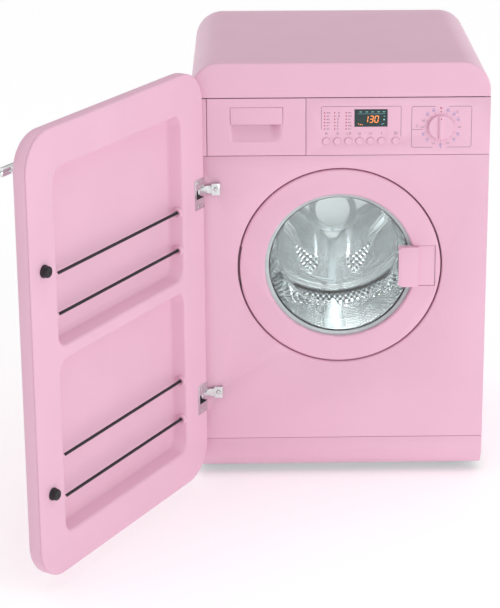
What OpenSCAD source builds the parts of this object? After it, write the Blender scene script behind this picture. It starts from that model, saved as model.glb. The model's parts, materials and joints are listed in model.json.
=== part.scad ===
// Front-loading washing machine with a full-height outer storage door, in millimetres.
// X runs to the right, Y runs back from the front face, Z runs up from the floor.

/* [Cabinet] */
// Width of the cabinet
body_w = 595; // [560:1:720]
// Depth of the cabinet, front face to back panel
body_d = 545; // [500:1:660]
// Height of the hood's front edge above the floor
body_h = 890; // [860:1:1070]
// Height of the feet under the plinth
foot_h = 18; // [14:1:26]
// Height of the plinth
plinth_h = 73; // [60:1:88]
// Height of the control fascia
fascia_h = 118; // [110:1:142]
// Height of the hood above the fascia
hood_h = 70; // [70:1:84]
// Corner radius of the hood at the front
hood_r = 58; // [40:1:62]
// Corner radius of the hood at the back
hood_back_r = 60; // [50:1:60]
// How far the hood falls from front to back
hood_fall = 10; // [0:1:10]
// Thickness of the steel sheet
sheet = 1.2; // [0.8:0.1:1.5]
// Thickness of the moulded panels
skin = 2.5; // [2:0.1:3]
// Gap at the seams between panels
seam = 1; // [0.6:0.1:1.5]

/* [Porthole] */
// Height of the porthole's and the drum's axis
porthole_z = 467; // [455:1:480]
// Outer radius of the porthole door
porthole_r = 204.5; // [190:0.5:210]
// Radius of the glass that shows
glass_r = 152; // [140:1:155]
// Depth of the glass bowl behind the front face
bowl_d = 118; // [100:1:125]
// Wall of the glass bowl
bowl_wall = 5; // [4:0.5:6]
// Depth of the dish that the porthole door closes into
dish_d = 34; // [32:1:40]
// Gap between the porthole door and its dish
dish_gap = 3; // [2.8:0.1:4]
// Thickness of the porthole door at its rim
ring_t = 20; // [18:1:22]
// Width of the porthole handle
pull_w = 74; // [62:1:80]
// Height of the porthole handle
pull_h = 84; // [70:1:100]
// How far the porthole handle stands proud
pull_proud = 10; // [8:0.5:12]

/* [Drum] */
// Outer radius of the drum
drum_r = 228; // [215:1:232]
// Length of the drum
drum_l = 316; // [260:1:320]
// Radius of the drum's mouth
drum_mouth_r = 166; // [160:1:175]
// Thickness of the drum's sheet
drum_wall = 1; // [0.8:0.1:1.5]
// Radial gap between the drum and the tub
tub_gap = 13; // [10:1:14]
// Wall of the tub
tub_wall = 4; // [3:0.5:5]
// Radius of the drum's shaft
shaft_r = 15; // [12:0.5:18]
// Running clearance of shafts and pins, on the radius
run = 0.05; // [0.02:0.01:0.08]
// Radius of the pulley on the drum
pulley_r = 140; // [120:1:160]
// Radius of the pulley on the motor
pinion_r = 10; // [8:0.5:12]
// How far the sprung tub moves up and down
tub_travel = 6; // [3:0.5:7]

/* [Outer door] */
// Thickness of the outer door at its rim
door_t = 38; // [34:1:44]
// How far the outer skin bows out in the middle
door_bow = 9; // [4:1:14]
// Corner radius of the outer door
door_r = 70; // [56:1:84]
// Gap between the closed outer door and the front face
door_gap = 14; // [13:0.5:17]
// How far the outer door stands open
door_angle = 120; // [0:1:120]
// Depth of the storage recesses
recess_d = 34; // [28:1:36]
// Frame round the recesses at the hinge side
recess_hinge_side = 78; // [70:1:94]
// Frame round the recesses at the free side
recess_free_side = 79; // [66:1:94]
// Radius of the elastic cords
cord_r = 3; // [2.5:0.1:3.5]
// Radius of the rubber bumpers
bumper_r = 12; // [10:0.5:14]

/* [Controls] */
// Radius of the programme knob
knob_r = 25; // [21:0.5:30]
// How far the knob stands proud
knob_proud = 11; // [9:0.5:12]
// Radius of the push buttons
button_r = 7.3; // [6:0.1:8.5]
// How far the push buttons go in
button_travel = 1.6; // [1:0.1:2]
// Width of the detergent drawer
drawer_w = 196; // [180:1:210]
// Length of the detergent tray
tray_l = 230; // [200:1:250]
// Left edge of the detergent drawer, from the cabinet's left side
drawer_inset = 32; // [28:1:40]

/* [Hidden] */

pink = [0.93, 0.72, 0.81];
steel = [0.72, 0.74, 0.76];
grey = [0.55, 0.57, 0.6];
dark = [0.12, 0.12, 0.13];
concrete = [0.62, 0.61, 0.58];
facets = 96;

// Heights of the seams across the front.
half_w = body_w / 2;
plinth_z = foot_h + plinth_h;
hood_z = body_h - hood_h;
fascia_z = hood_z - fascia_h;

// The dish in the front panel and its mouth.
dish_r = porthole_r + dish_gap;
lip_gap = 1.6;
mouth_r = glass_r + 13;
mouth_lip = 12;
ring_edge = 5;

// The porthole hinge: its pin stands behind the ring's front skin.
pin_r = 1.5;
knuckle_r = 2.7;
port_pin_x = -porthole_r + 16.5;
port_pin_y = 4;
knuckle_z = 30;
knuckle_h = 16;
fixed_knuckle = 2 * knuckle_z - knuckle_h - 0.6;
slot_half = knuckle_z + knuckle_h / 2 + 5;

// The handle pivots at its right edge.
pull_right = porthole_r - 12;
pull_left = pull_right - pull_w;
pull_well = 9;
pull_pin_x = pull_right - 6;
pull_pin_y = 3.75;
pull_pin_r = 1.5;
pull_gap = 1;

// The drum runs in the sprung tub.
drum_y = 84;
tub_r = drum_r + tub_gap + tub_wall;
tub_y = drum_y - 14;
tub_split_y = drum_y + drum_l / 2;
drum_end_y = drum_y + drum_l;
spider_t = 14;
tub_back_y = drum_end_y + spider_t + 12;
tub_end_y = tub_back_y + tub_wall + 2;
hub_l = 24;
hub_r = shaft_r + 24;
neck_r = drum_mouth_r + 4;
neck_wall = 3;
neck_l = 12;
pulley_y = tub_end_y + hub_l - 8;
pulley_w = 18;
belt_t = 4;
belt_gap = 0.3;

// The bellows' clear radius round the moving neck, and the lock beside it.
reach = neck_r + neck_wall + tub_travel + 1;
lock_x = reach + 9.5;

// The detergent drawer's front and the housing that it slides into.
front_t = 22;

// The motor hangs under the tub.
motor_r = 46;
motor_l = 118;
motor_z = porthole_z - tub_r - motor_r - 26;
motor_front_y = tub_end_y - motor_l - 4;
spindle_r = 6;

// Springs and dampers that carry the tub.
spring_r = 11;
spring_x = drum_r - 32;
hanger_l = 40;
housing_y = front_t + 26;
housing_back_y = housing_y + tray_l + 6;
spring_y = max(tub_split_y + 70, housing_back_y + hanger_l / 2 + 3);
spring_top_z = hood_z - 62;
lug_t = 8;
lug_z = porthole_z + sqrt(pow(tub_r, 2) - pow(spring_x, 2)) + 14;
damper_x = 150;
damper_y = tub_split_y + 20;
damper_r = 13;
rod_r = 6;
damper_foot_z = foot_h + 14;
damper_top_z = porthole_z - sqrt(pow(tub_r, 2) - pow(damper_x, 2)) - 70;
damper_eye_z = porthole_z - sqrt(pow(tub_r, 2) - pow(damper_x - rod_r, 2)) - 1;

// The detergent drawer and its housing.
drawer_x = -half_w + drawer_inset;
housing_wall = 2;
tray_x = drawer_x + 14;
tray_w = drawer_w - 28;
tray_z = fascia_z + 18;
tray_h = 70;
tray_wall = 2;
slide_gap = 1;
grip_x = drawer_x + 46;
grip_w = 105;
grip_z = fascia_z + 65;
grip_h = 34;
scoop_h = 37;
scoop_d = 16;

// The control field, measured from the cabinet's centre line.
display_x = 27;
display_w = 66;
display_z = fascia_z + 58;
display_h = 36;
button_x = -28.6;
button_step = 22;
last_button_x = 109.4;
button_z = fascia_z + 29;
button_proud = 2.2;
knob_x = 199;
knob_z = fascia_z + 57;
board_y = 24;

// The outer door in its own frame: X from its hinge edge, Y = 0 at its inner face.
door_w = body_w - 8;
door_x = -half_w + 7;
door_bottom = foot_h + 14;
door_top = body_h - 1;
door_skin = 2;
door_edge = 12;
pivot_in = 6.5;
pivot_out = 10;
pivot_x = door_x + pivot_in;
pivot_y = -door_gap - pivot_out;
recess_w = door_w - recess_hinge_side - recess_free_side;
recess_slope = 9;
recess_r = 24;
ledge_z = porthole_z - 5;
ledge_h = 26;
recess_low_z = door_bottom + 74;
recess_high_z = door_top - 77;
liner_t = 3;
cord_heights = [613, 535, 258, 175];
boss_r = 10.5;
boss_l = 6;
cord_y = -11;
bumper_heights = [636, 205];
bumper_l = door_gap - 0.5;
bumper_x = door_w - 39;
bumper_stem_r = 3;
hinge_heights = [635, 198];
arm_w = 16;
knuckle_small_r = 4;
hinge_pin_r = 2;
cup_wall = 1;
flange_w = 34;
flange_h = 62;
flange_t = 1.2;
flange_screw_x = pivot_in + 16;
flange_screw_z = 24;
screw_r = 2;
screw_head_r = 4;
screw_head_t = 1.2;
block_x = -half_w + 39.5;
block_w = 17;
block_h = 24;
block_t = 9;
bar_l = 190;
bar_r = 9;
bar_out = 22;
bar_z = 813;
bar_end = door_w - 22;
post_r = 7;

// A turned piece on the drum's axis: its outline is (radius, depth).
module turned(z = porthole_z) {
  translate([0, 0, z]) rotate([-90, 0, 0]) rotate_extrude($fn = facets) children();
}

// A cylinder that runs back from a point.
module bar_y(x, y, z, r, l) {
  translate([x, y, z]) rotate([-90, 0, 0]) cylinder(r = r, h = l, $fn = 48);
}

// A cylinder that runs to the right from a point.
module bar_x(x, y, z, r, l) {
  translate([x, y, z]) rotate([0, 90, 0]) cylinder(r = r, h = l, $fn = 48);
}

// An upright cylinder.
module post(x, y, z, r, l) {
  translate([x, y, z]) cylinder(r = r, h = l, $fn = 48);
}

// A rectangle with round corners, drawn with circles so that it stays exact.
module round_rect(w, h, r) {
  translate([r, 0]) square([w - 2 * r, h]);
  translate([0, r]) square([w, h - 2 * r]);
  for (x = [r, w - r], y = [r, h - r]) translate([x, y]) circle(r = r, $fn = 48);
}

// An upright plate of a flat outline, with its front at y.
module upright(y, t) {
  translate([0, y + t, 0]) rotate([90, 0, 0]) linear_extrude(t) children();
}

// Moves door pieces from the door's own frame to where the door stands.
module on_door() {
  translate([pivot_x, pivot_y, 0]) rotate([0, 0, -door_angle])
    translate([-pivot_in, pivot_out, 0]) children();
}

// ---- cabinet ----

foot_x = half_w - 42;
foot_front_y = 104;
foot_r = 20;
foot_pad_h = 8;
stud_r = 5;
nut_h = 12;
foot_back_y = body_d - 45;

module at_feet() {
  for (x = [-foot_x, foot_x], y = [foot_front_y, foot_back_y]) translate([x, y, 0]) children();
}

// The pan that carries the feet, the dampers and the pump.
pan_y = 42;
pan_h = 34;
pan_t = 1.5;
stiffener_h = 14;

module base_pan() {
  w = body_w - 2 * sheet - 1;
  l = body_d - sheet - pan_y - 0.5;
  color(steel) difference() {
    union() {
      difference() {
        translate([-w / 2, pan_y, foot_h]) cube([w, l, pan_h]);
        translate([-w / 2 + pan_t, pan_y + pan_t, foot_h + pan_t])
          cube([w - 2 * pan_t, l - 2 * pan_t, pan_h]);
      }
      at_feet() translate([0, 0, foot_h]) cylinder(r = stud_r + 7, h = stiffener_h, $fn = 48);
      for (x = [-damper_x, damper_x])
        post(x, damper_y, foot_h, damper_r + 5, damper_foot_z - foot_h);
      translate([pump_x - 55, pump_y - 2, foot_h]) cube([110, 90, pump_z - foot_h]);
    }
    at_feet() translate([0, 0, foot_h - 1]) cylinder(r = stud_r + run, h = pan_h, $fn = 48);
  }
}

module feet() {
  color(dark) at_feet() {
    cylinder(r = foot_r, h = foot_pad_h, $fn = 48);
    translate([0, 0, foot_pad_h]) cylinder(r1 = foot_r, r2 = nut_h - 1, h = nut_h - foot_pad_h, $fn = 48);
    translate([0, 0, nut_h]) cylinder(r = stud_r + 4, h = foot_h - nut_h, $fn = 48);
    cylinder(r = stud_r, h = foot_h + pan_h - 10, $fn = 48);
  }
}

side_y = skin + 0.5;
side_foot_y = 34;

module side_panel(x) {
  h = hood_z - foot_h;
  difference() {
    translate([x, side_y, foot_h]) cube([sheet, body_d - side_y, h]);
    translate([x - 1, 0, foot_h - 1]) cube([sheet + 2, side_foot_y, plinth_h + 1]);
  }
}

// Rails that the tub's springs hang from.
module hanger(s) {
  x0 = half_w - sheet - 0.2;
  difference() {
    translate([s > 0 ? spring_x - 18 : -x0, spring_y - hanger_l / 2, spring_top_z])
      cube([x0 - spring_x + 18, hanger_l, 4]);
    post(s * spring_x, spring_y, spring_top_z - 1, 3, 6);
  }
}

module side_left() {
  color(pink) {
    side_panel(-half_w);
    translate([-0.2, 0, 0]) hanger(-1);
  }
}

module side_right() {
  color(pink) {
    side_panel(half_w - sheet);
    translate([0.2, 0, 0]) hanger(1);
  }
}

transit_x = 190;
transit_low_z = porthole_z - 150;
transit_high_z = porthole_z + 150;
transit_r = 6;
valve_x = 210;
valve_z = hood_z - 40;
spigot_x = -210;
spigot_z = hood_z - 100;
spigot_r = 9.5;
gland_x = 150;
gland_z = foot_h + 110;
inlet_r = 13.2;
inlet_l = 17;
spigot_l = 26;
bore_gap = 2.5;
gland_r = 9;
vent_w = 80;
vent_step = 14;
bead_r = 150;

module back_panel() {
  w = body_w - 2 * sheet - 0.4;
  color(steel) difference() {
    union() {
      translate([-w / 2, body_d - sheet, foot_h + 0.5]) cube([w, sheet, hood_z - foot_h - 1]);
      turned() translate([bead_r, body_d - sheet - 3]) square([5, 3]);
    }
    for (x = [-transit_x, transit_x], z = [transit_low_z, transit_high_z])
      bar_y(x, body_d - 10, z, transit_r, 20);
    bar_y(valve_x, body_d - 10, valve_z, inlet_r + bore_gap, 20);
    bar_y(spigot_x, body_d - 10, spigot_z, spigot_r + bore_gap, 20);
    bar_y(gland_x, body_d - 10, gland_z, gland_r + 0.2, 20);
    for (i = [0:4], s = [-1, 1])
      translate([s * bead_r - vent_w / 2, body_d - 5, foot_h + 60 + i * vent_step]) cube([vent_w, 10, 5]);
  }
}

front_return = 14;

module front_panel() {
  z0 = plinth_z + seam;
  h = fascia_z - plinth_z - 2 * seam;
  edge_x = half_w - sheet - 0.4;
  color(pink) difference() {
    union() {
      difference() {
        translate([-half_w, 0, z0]) cube([body_w, sheet, h]);
        bar_y(0, -1, porthole_z, dish_r + lip_gap, sheet + 2);
      }
      for (x = [-edge_x, edge_x - sheet]) translate([x, 0, z0]) cube([sheet, front_return, h]);
      for (z = [z0, z0 + h - sheet]) translate([-edge_x, 0, z]) cube([2 * edge_x, front_return, sheet]);
      turned() polygon([
        [dish_r + lip_gap, 0], [dish_r + lip_gap + sheet, 0], [dish_r + lip_gap + sheet, sheet],
        [dish_r + sheet, 2 * sheet], [dish_r + sheet, dish_d + sheet],
        [mouth_r + sheet, dish_d + sheet], [mouth_r + sheet, dish_d + mouth_lip],
        [mouth_r, dish_d + mouth_lip], [mouth_r, dish_d], [dish_r, dish_d], [dish_r, 2 * sheet],
        [dish_r + lip_gap, sheet]
      ]);
      // The fixed knuckle of the porthole hinge, on an arm from the dish's floor.
      post(port_pin_x, port_pin_y, porthole_z - fixed_knuckle / 2, knuckle_r, fixed_knuckle);
      translate([port_pin_x, port_pin_y + pin_r, porthole_z - fixed_knuckle / 2])
        cube([4, dish_d - port_pin_y - pin_r + 0.5, fixed_knuckle]);
    }
    for (z = hinge_heights) bar_y(block_x + block_w / 2, -1, z, screw_r + 0.05, 10);
    translate([lock_x + 2, dish_d - 2, porthole_z - 12]) cube([11, 8, 24]);
    post(port_pin_x, port_pin_y, porthole_z - knuckle_z, pin_r + run, 2 * knuckle_z);
  }
}

// The hood's outline across the machine at one depth.
module hood_outline(r, fall, inset, floor_z) {
  x = half_w - inset;
  top = body_h - fall - inset;
  corner = r - inset;
  intersection() {
    translate([-x, floor_z]) square([2 * x, hood_h]);
    union() {
      translate([-x, floor_z]) square([2 * x, top - corner - floor_z]);
      translate([corner - x, floor_z]) square([2 * (x - corner), top - floor_z]);
      for (s = [-1, 1]) translate([s * (x - corner), top - corner]) circle(r = corner, $fn = 128);
    }
  }
}

module hood_block(inset, floor_z) {
  soft = 3;
  slice = 0.02;
  hull() {
    upright(inset, slice) hood_outline(hood_r, 0, inset + soft, floor_z);
    upright(inset + soft + 1, slice) hood_outline(hood_r, 0, inset, floor_z);
    upright(body_d - inset - soft - 1, slice) hood_outline(hood_back_r, hood_fall, inset, floor_z);
    upright(body_d - inset - slice, slice) hood_outline(hood_back_r, hood_fall, inset + soft, floor_z);
  }
}

module hood() {
  color(pink) difference() {
    hood_block(0, hood_z + seam);
    hood_block(skin, hood_z - 1);
  }
}

// The plinth's side outline, (depth, height): upright at the top, curling back below.
module plinth_outline(inset) {
  bend = plinth_h - 13;
  mid = foot_h + bend - 6;
  intersection() {
    translate([inset, foot_h - inset]) square([side_foot_y, plinth_h]);
    union() {
      translate([bend, mid]) circle(r = bend - inset, $fn = 2 * facets);
      translate([inset, mid]) square([bend, bend]);
    }
  }
}

module plinth() {
  color(pink) difference() {
    translate([-half_w, 0, 0]) rotate([90, 0, 90]) linear_extrude(body_w) intersection() {
      plinth_outline(0);
      square([side_foot_y - 0.5, body_h]);
    }
    translate([skin - half_w, 0, 0]) rotate([90, 0, 90]) linear_extrude(body_w - 2 * skin)
      plinth_outline(skin);
  }
}

// The frame behind the front: two rails with uprights beside the drawer and at the ends.
rail_y = 16;
rail_t = 1.5;
rail_low_z = fascia_z - 14;

module front_rail() {
  low_x = half_w - sheet - 0.3;
  high_x = half_w - skin - 0.6;
  color(steel) {
    translate([-low_x, front_return + 0.3, rail_low_z]) cube([2 * low_x, 32, rail_t]);
    translate([-low_x, rail_y, rail_low_z]) cube([2 * low_x, rail_t, 12.5]);
    translate([-high_x, rail_y, hood_z + rail_t]) cube([2 * high_x, 30, rail_t]);
    for (x = [-high_x, drawer_x + drawer_w + 3, high_x - 12])
      translate([x, rail_y, rail_low_z]) cube([12, rail_t, fascia_h + 17]);
  }
}

fascia_x = drawer_x + drawer_w + seam;

module fascia_hole_list() {
  for (i = [0:6]) bar_y(button_at(i), -1, button_z, button_r + 0.3, 10);
  translate([display_x, -1, display_z]) cube([display_w, 10, display_h]);
  bar_y(knob_x, -1, knob_z, 7, 10);
}

function button_at(i) = i < 6 ? button_x + i * button_step : last_button_x;

// A moulded panel in the fascia's row: a face and a return wall behind it.
module moulded(x0, x1, wall_x0, wall_x1) {
  h = fascia_h - seam;
  translate([x0, 0, fascia_z]) cube([x1 - x0, skin, h]);
  difference() {
    translate([wall_x0, 0, fascia_z]) cube([wall_x1 - wall_x0, 15.5, h]);
    translate([wall_x0 + skin, skin, fascia_z + skin])
      cube([wall_x1 - wall_x0 - 2 * skin, 20, h - 2 * skin]);
  }
}

module fascia() {
  color(pink) difference() {
    moulded(fascia_x, half_w, fascia_x, half_w - sheet - 0.4);
    fascia_hole_list();
  }
}

module fascia_strip() {
  color(pink) moulded(-half_w, drawer_x - seam, -half_w + sheet + 0.4, drawer_x - seam);
}

module display_window() {
  color(dark) translate([display_x + 0.3, 0.4, display_z + 0.3])
    cube([display_w - 0.6, board_y - 0.4, display_h - 0.6]);
}

module control_board() {
  color([0.1, 0.4, 0.25]) difference() {
    union() {
      translate([fascia_x + 6, board_y, fascia_z + 8]) cube([half_w - fascia_x - 14, 1.6, fascia_h - 24]);
      bar_y(knob_x, 8, knob_z, 11, board_y - 8);
      for (x = [fascia_x + 24, half_w - 30], z = [fascia_z + 14, hood_z - 22])
        bar_y(x, skin, z, 3.5, board_y - skin);
    }
    bar_y(knob_x, 7, knob_z, 3 + run, 10);
    translate([display_x - 1, board_y - 3, display_z - 1]) cube([display_w + 2, 3, display_h + 2]);
  }
}

module drawer_housing() {
  x0 = tray_x - slide_gap - housing_wall;
  w = tray_w + 2 * (slide_gap + housing_wall);
  y0 = housing_y;
  l = housing_back_y - housing_y;
  z0 = tray_z - slide_gap - housing_wall;
  h = tray_h + 2 * housing_wall + 10;
  color([0.9, 0.9, 0.92]) difference() {
    union() {
      translate([x0, y0, z0]) cube([w, l, h]);
      bar_x(x0 + w - 1, y0 + l - 30, z0 + 20, 11, 20);
      for (x = [x0, x0 + w - 8])
        translate([x, y0 - 14, fascia_z - 12.5]) cube([8, 16, z0 - fascia_z + 13.5]);
    }
    translate([x0 + housing_wall, y0 - 1, z0 + housing_wall])
      cube([w - 2 * housing_wall, l - housing_wall + 1, h - 2 * housing_wall]);
    bar_x(x0 + w - 4, y0 + l - 30, z0 + 20, 8, 30);
  }
}

module fill_valve() {
  body_l = 52;
  y0 = body_d - sheet - 0.3 - body_l;
  color([0.85, 0.86, 0.88]) difference() {
    union() {
      bar_y(valve_x, y0, valve_z, inlet_r + 8, body_l);
      bar_y(valve_x, body_d - 6, valve_z, inlet_r + 1.5, 7);
      bar_y(valve_x, body_d, valve_z, inlet_r, inlet_l + 1);
      post(valve_x - 2, y0 + 14, valve_z, 12, 28);
      bar_y(valve_x, y0 - 18, valve_z, 6, 19);
    }
    bar_y(valve_x, body_d + 2, valve_z, 8, 30);
  }
}

pump_x = 150;
pump_y = 62;
pump_z = foot_h + 22;

// The pump: its foot, chamber, motor, lint cap with a grip, and outlet.
module drain_pump() {
  chamber_r = 38;
  chamber_z = pump_z + chamber_r + 8;
  chamber_l = 66;
  color(dark) {
    translate([pump_x - 40, pump_y, pump_z]) cube([80, 70, 12]);
    bar_y(pump_x, pump_y + 2, chamber_z, chamber_r, chamber_l);
    bar_y(pump_x, pump_y + chamber_l + 1, chamber_z, chamber_r - 10, 46);
    bar_y(pump_x, pump_y - 14, chamber_z, chamber_r - 11, 17);
    translate([pump_x - 3, pump_y - 20, chamber_z - 22]) cube([6, 8, 44]);
    post(hose_start_x, hose_start_y, chamber_z + 24, hose_r, hose_start_z - chamber_z - 24.3);
  }
}

// The drain hose runs from the pump up the right side to the spigot in the back panel.
hose_r = 11;
hose_x = half_w - 26;
hose_y = body_d - 34;
hose_start_x = pump_x + 18;
hose_start_y = pump_y + 34;
hose_start_z = pump_z + 94.3;
hose_low_z = pump_z + 112;

// A bend of the hose.
module hose_bend(x, y, z) {
  translate([x, y, z]) sphere(r = hose_r, $fn = 48);
}

module drain_hose() {
  color(grey) difference() {
    union() {
      post(hose_start_x, hose_start_y, hose_start_z, hose_r, hose_low_z - hose_start_z);
      hose_bend(hose_start_x, hose_start_y, hose_low_z);
      bar_x(hose_start_x, hose_start_y, hose_low_z, hose_r, hose_x - hose_start_x);
      hose_bend(hose_x, hose_start_y, hose_low_z);
      bar_y(hose_x, hose_start_y, hose_low_z, hose_r, hose_y - hose_start_y);
      hose_bend(hose_x, hose_y, hose_low_z);
      post(hose_x, hose_y, hose_low_z, hose_r, spigot_z - hose_low_z);
      hose_bend(hose_x, hose_y, spigot_z);
      bar_x(spigot_x, hose_y, spigot_z, hose_r, hose_x - spigot_x);
      hose_bend(spigot_x, hose_y, spigot_z);
      bar_y(spigot_x, hose_y, spigot_z, hose_r, body_d + 2 - hose_y);
      bar_y(spigot_x, hose_y, spigot_z, spigot_r, body_d + 2 + spigot_l - hose_y);
    }
    bar_y(spigot_x, hose_y + 14, spigot_z, spigot_r - 3, 60);
  }
}

module mains_gland() {
  color(dark) difference() {
    union() {
      bar_y(gland_x, body_d - 8, gland_z, gland_r, 20);
      for (y = [body_d, body_d - sheet - 3]) bar_y(gland_x, y, gland_z, gland_r + 4, 3);
    }
    bar_y(gland_x, body_d - 10, gland_z, gland_r - 4.8, 40);
  }
}

module door_lock() {
  color(dark) difference() {
    translate([lock_x, dish_d + sheet + 0.3, porthole_z - 28]) cube([20, 24, 56]);
    translate([lock_x + 1.5, dish_d, porthole_z - 13]) cube([12, 20, 26]);
  }
}

// Rubber bellows between the front panel's mouth and the tub's neck.
module gasket() {
  r0 = mouth_r - 3;
  r1 = mouth_r + sheet + 0.3;
  y0 = dish_d - 2;
  y1 = dish_d + mouth_lip + 0.3;
  color(grey) turned() polygon([
    [r0, y0], [mouth_r - 0.2, y0], [mouth_r - 0.2, y1], [r1, y1], [r1, y1 - 8], [r1 + 3, y1 - 8],
    [reach + 8, y1 - 8], [reach + 8, tub_y - 8], [reach + 2.5, tub_y - 8], [reach + 2.5, tub_y - 1],
    [reach, tub_y - 1], [reach, tub_y - 10.5], [reach + 5.5, tub_y - 10.5], [reach + 5.5, y1 - 5],
    [r1 + 3, y1 - 5], [r1 + 3, y1 + 3], [r0, y1 + 3]
  ]);
}

module damper_tubes() {
  color(dark) for (x = [-damper_x, damper_x]) difference() {
    post(x, damper_y, damper_foot_z, damper_r, damper_top_z - damper_foot_z);
    post(x, damper_y, damper_foot_z + 4, rod_r + run, damper_top_z);
  }
}

// ---- sprung tub ----

// The room that the tub fills, cut from whatever is bolted to it.
module tub_space() {
  turned() square([tub_r + 0.3, body_d]);
}

module tub_front() {
  r1 = tub_r;
  r0 = tub_r - tub_wall;
  color(grey) turned() polygon([
    [neck_r, tub_y - neck_l], [neck_r + neck_wall, tub_y - neck_l], [neck_r + neck_wall, tub_y],
    [r1 - 18, tub_y], [r1, tub_y + 18], [r1, tub_split_y - 6], [r1 + 6, tub_split_y - 6],
    [r1 + 6, tub_split_y], [r0, tub_split_y], [r0, tub_y + 18 + 2], [r0 - 16, tub_y + tub_wall],
    [neck_r, tub_y + tub_wall]
  ]);
}

module tub_rear() {
  r1 = tub_r;
  r0 = tub_r - tub_wall;
  color(grey) {
    difference() {
      turned() polygon([
        [r0, tub_split_y + 0.2], [r1 + 6, tub_split_y + 0.2], [r1 + 6, tub_split_y + 6],
        [r1, tub_split_y + 6], [r1, tub_end_y], [hub_r, tub_end_y], [hub_r, tub_end_y + hub_l - 14],
        [shaft_r + run, tub_end_y + hub_l - 14], [shaft_r + run, tub_back_y - 4],
        [hub_r, tub_back_y - 4], [hub_r, tub_back_y], [r0, tub_back_y]
      ]);
      for (a = [0:30:330]) translate([0, 0, porthole_z]) rotate([0, a, 0])
        bar_y(tub_r - 60, tub_end_y - 1.5, 0, 18, 5);
      for (x = [-heater_x, heater_x]) bar_y(x, tub_back_y - 5, heater_z, heater_r + 0.2, 20);
    }
    for (s = [-1, 1]) {
      translate([s * spring_x - 16, spring_y - 14, lug_z - lug_t]) cube([32, 28, lug_t]);
      difference() {
        translate([s * spring_x - 4, spring_y - 12, porthole_z]) cube([8, 24, lug_z - porthole_z - 1]);
        turned() translate([0, tub_split_y]) square([tub_r - 1, tub_end_y - tub_split_y - 8]);
      }
    }
  }
}

module weight_top() {
  w = 240;
  y0 = max(tub_end_y - w / 2, housing_back_y + 4);
  color(concrete) difference() {
    translate([-w / 2, y0, porthole_z + tub_r - 40]) cube([w, tub_end_y - 8 - y0, 78]);
    tub_space();
  }
}

module weight_front() {
  color(concrete) difference() {
    turned() translate([neck_r + 34, tub_y - 18]) square([tub_r - neck_r - 56, 17.7]);
    translate([-body_w, 0, porthole_z - 70]) cube([2 * body_w, body_d, body_h]);
  }
}

heater_x = 30;
heater_z = porthole_z - drum_r - tub_gap / 2 + 1.5;
heater_r = 3.2;

module heater() {
  y0 = drum_y + 60;
  color(steel) {
    for (x = [-heater_x, heater_x]) {
      bar_y(x, y0, heater_z, heater_r, tub_end_y - y0 + 14);
      translate([x, y0, heater_z]) sphere(r = heater_r, $fn = 32);
    }
    bar_x(-heater_x, y0, heater_z, heater_r, 2 * heater_x);
  }
}

module motor() {
  color(dark) difference() {
    union() {
      bar_y(0, motor_front_y, motor_z, motor_r, motor_l);
      bar_y(0, motor_front_y - 8, motor_z, 20, 10);
      for (y = [motor_front_y + 12, motor_front_y + motor_l - 26])
        translate([-30, y, motor_z + motor_r - 8])
          cube([60, 12, porthole_z - tub_r - motor_z - motor_r + 11]);
    }
    tub_space();
    bar_y(0, motor_front_y + motor_l - 40, motor_z, spindle_r + run, 60);
  }
}

module damper_rods() {
  rod_z = damper_foot_z + 30;
  color(steel) for (s = [-1, 1]) {
    post(s * damper_x, damper_y, rod_z, rod_r, damper_eye_z - rod_z);
    difference() {
      translate([s * damper_x - 13, damper_y - 9, damper_eye_z - 8]) cube([26, 18, 40]);
      tub_space();
    }
  }
}

module tub_springs() {
  h = spring_top_z - lug_z - 0.6;
  color(steel) for (s = [-1, 1]) difference() {
    post(s * spring_x, spring_y, lug_z + 0.3, spring_r, h);
    post(s * spring_x, spring_y, lug_z + 6, spring_r - 2.5, h - 12);
  }
}

// The belt's outline round both pulleys, grown by a margin.
module belt_outline(grow) {
  hull() {
    circle(r = pulley_r + grow, $fn = 2 * facets);
    translate([0, motor_z - porthole_z]) circle(r = pinion_r + grow, $fn = 48);
  }
}

module belt() {
  color(dark) translate([0, pulley_y + pulley_w - 3, porthole_z]) rotate([90, 0, 0])
    linear_extrude(pulley_w - 6) difference() {
      belt_outline(belt_gap + belt_t);
      belt_outline(belt_gap);
    }
}

module motor_pulley() {
  y0 = motor_front_y + motor_l - 36;
  color(steel) {
    bar_y(0, y0, motor_z, spindle_r, pulley_y - y0);
    bar_y(0, pulley_y, motor_z, pinion_r, pulley_w);
  }
}

// ---- drum ----

module drum_shell() {
  r1 = drum_r;
  r0 = drum_r - drum_wall;
  lip = drum_mouth_r;
  color(steel) turned() polygon([
    [lip, drum_y - 4], [lip + drum_wall, drum_y - 4], [lip + 8, drum_y], [r1 - 12, drum_y],
    [r1, drum_y + 12], [r1, drum_end_y - 0.2], [r0, drum_end_y - 0.2], [r0, drum_y + 12.5],
    [r1 - 12.5, drum_y + drum_wall], [lip + 7.5, drum_y + drum_wall], [lip, drum_y - 3]
  ]);
}

module drum_back() {
  color(steel) turned() polygon([
    [0, drum_end_y - 22], [46, drum_end_y - 22], [70, drum_end_y - 10], [150, drum_end_y - 6],
    [drum_r - 14, drum_end_y - 6], [drum_r - drum_wall - 0.2, drum_end_y - 12],
    [drum_r - drum_wall - 0.2, drum_end_y], [0, drum_end_y]
  ]);
}

module lifter() {
  foot_r = drum_r - drum_wall - 0.4;
  front = drum_y + 24;
  back = drum_end_y - 28;
  difference() {
    hull() {
      translate([-26, front, -foot_r]) cube([52, back - front, 4]);
      bar_y(0, front + 34, -foot_r + 48, 8, back - front - 40);
      translate([0, front + 16, -foot_r + 22]) sphere(r = 10, $fn = 32);
    }
    rotate([-90, 0, 0]) difference() {
      cylinder(r = drum_r + 60, h = 2 * body_d, $fn = facets);
      cylinder(r = foot_r, h = 2 * body_d, $fn = facets);
    }
  }
}

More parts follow.
